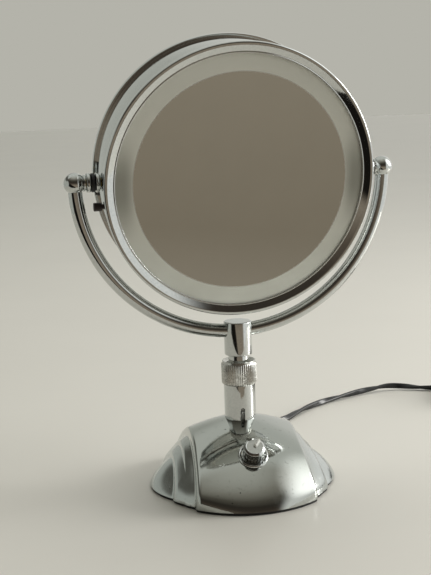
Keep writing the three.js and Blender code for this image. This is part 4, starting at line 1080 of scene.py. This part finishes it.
def make_world():
    """A room of soft light. Behind the mirror stands a pale wall. In front of it the room is warm and dim,
    darkest at head height, under a grey-beige ceiling. The right of the room is bright. The camera itself
    sees a plain pale wall."""
    world = bpy.data.worlds.new("studio_room")
    bpy.context.scene.world = world
    world.use_nodes = True
    tree = world.node_tree
    tree.nodes.clear()
    way = add(tree, "ShaderNodeTexCoord").outputs["Generated"]
    apart = add(tree, "ShaderNodeSeparateXYZ", None, {"Vector": way})
    up, depth, across = apart.outputs["Z"], apart.outputs["Y"], apart.outputs["X"]
    level = spread(tree, up, -1, 1, 0, 1)
    front = colour_scale(tree, level, [
        (0.001, "#b2a89b"), (0.22, "#a89e91"), (0.30, "#857a6b"), (0.36, "#908576"), (0.42, "#8e8374"),
        (0.50, "#61574c"), (0.60, "#403932"), (0.72, "#37332d"), (0.83, "#5c584f"), (0.92, "#918e84"),
        (0.999, "#c3c3ba"),
    ])
    # A dark doorway to the left, wider low down, between the beige room and a pale side wall.
    inward = calc(tree, "ADD", across, calc(tree, "MULTIPLY_ADD", up, 1.4, 0.25))
    leftward = spread(tree, inward, -0.34, -0.48, 0, 1, "SMOOTHSTEP")
    below = spread(tree, up, 0.65, 0.35, 0, 1, "SMOOTHSTEP")
    dim = blend_colour(tree, calc(tree, "MULTIPLY", leftward, below), front, linear("#1a1815"))
    side_wall = spread(tree, across, -0.86, -0.93, 0, 1, "SMOOTHSTEP")
    walled = blend_colour(tree, side_wall, dim, linear("#b4b6ae"))
    rightward = spread(tree, across, 0.48, 0.70, 0, 1, "SMOOTHSTEP")
    bright = blend_colour(tree, rightward, walled, linear("#eeefeb"))
    # Behind: a wall that pales to the right, the ceiling, and a shaded cupboard edge between them.
    wall = blend_colour(tree, spread(tree, across, -0.1, 0.6, 0, 1), linear("#b4b6ae"), linear("#f4f3ee"))
    overhead = blend_colour(tree, spread(tree, up, 0.45, 0.75, 0, 1, "SMOOTHSTEP"), wall, linear("#cfd1ca"))
    corner = spread(tree, across, -0.34, -0.50, 0, 1, "SMOOTHSTEP")
    over = spread(tree, up, 0.26, 0.40, 0, 1, "SMOOTHSTEP")
    under = spread(tree, up, 0.74, 0.60, 0, 1, "SMOOTHSTEP")
    edge = calc(tree, "MULTIPLY", corner, calc(tree, "MULTIPLY", over, under))
    shaded = blend_colour(tree, edge, overhead, linear("#5d5c55"))
    room = blend_colour(tree, spread(tree, depth, -0.10, 0.12, 0, 1, "SMOOTHSTEP"), bright, shaded)
    direct = add(tree, "ShaderNodeLightPath").outputs["Is Camera Ray"]
    seen = blend_colour(tree, direct, room, linear("#b4b3aa"))
    light = add(tree, "ShaderNodeBackground", None, {"Color": seen, "Strength": 1.0})
    # Daylight spreading through a curtain at the right, brightest at its middle.
    toward = add(tree, "ShaderNodeVectorMath", {"operation": "DOT_PRODUCT"}, {0: way, 1: (0.82, -0.12, 0.56)})
    curtain = spread(tree, toward.outputs["Value"], 0.84, 0.98, 0, 1.2, "SMOOTHSTEP")
    strength = calc(tree, "MULTIPLY", curtain, calc(tree, "SUBTRACT", 1.0, direct))
    glow = add(tree, "ShaderNodeBackground", None, {"Color": linear("#fdfdfb"), "Strength": strength})
    both = add(tree, "ShaderNodeAddShader", None, {0: light.outputs[0], 1: glow.outputs[0]})
    add(tree, "ShaderNodeOutputWorld", None, {"Surface": both.outputs[0]})


make_floor()
make_world()
soft_light("window", (1.5, 0.02, 0.58), (0, 0, 0.12), (0.55, 0.75), 17, "#fbfaf6")
soft_light("ceiling_bounce", (0.2, 0.6, 2.1), (0, 0, 0), (1.4, 1.0), 9, "#f4f2ec").visible_glossy = False
bpy.context.scene.view_settings.view_transform = "Standard"
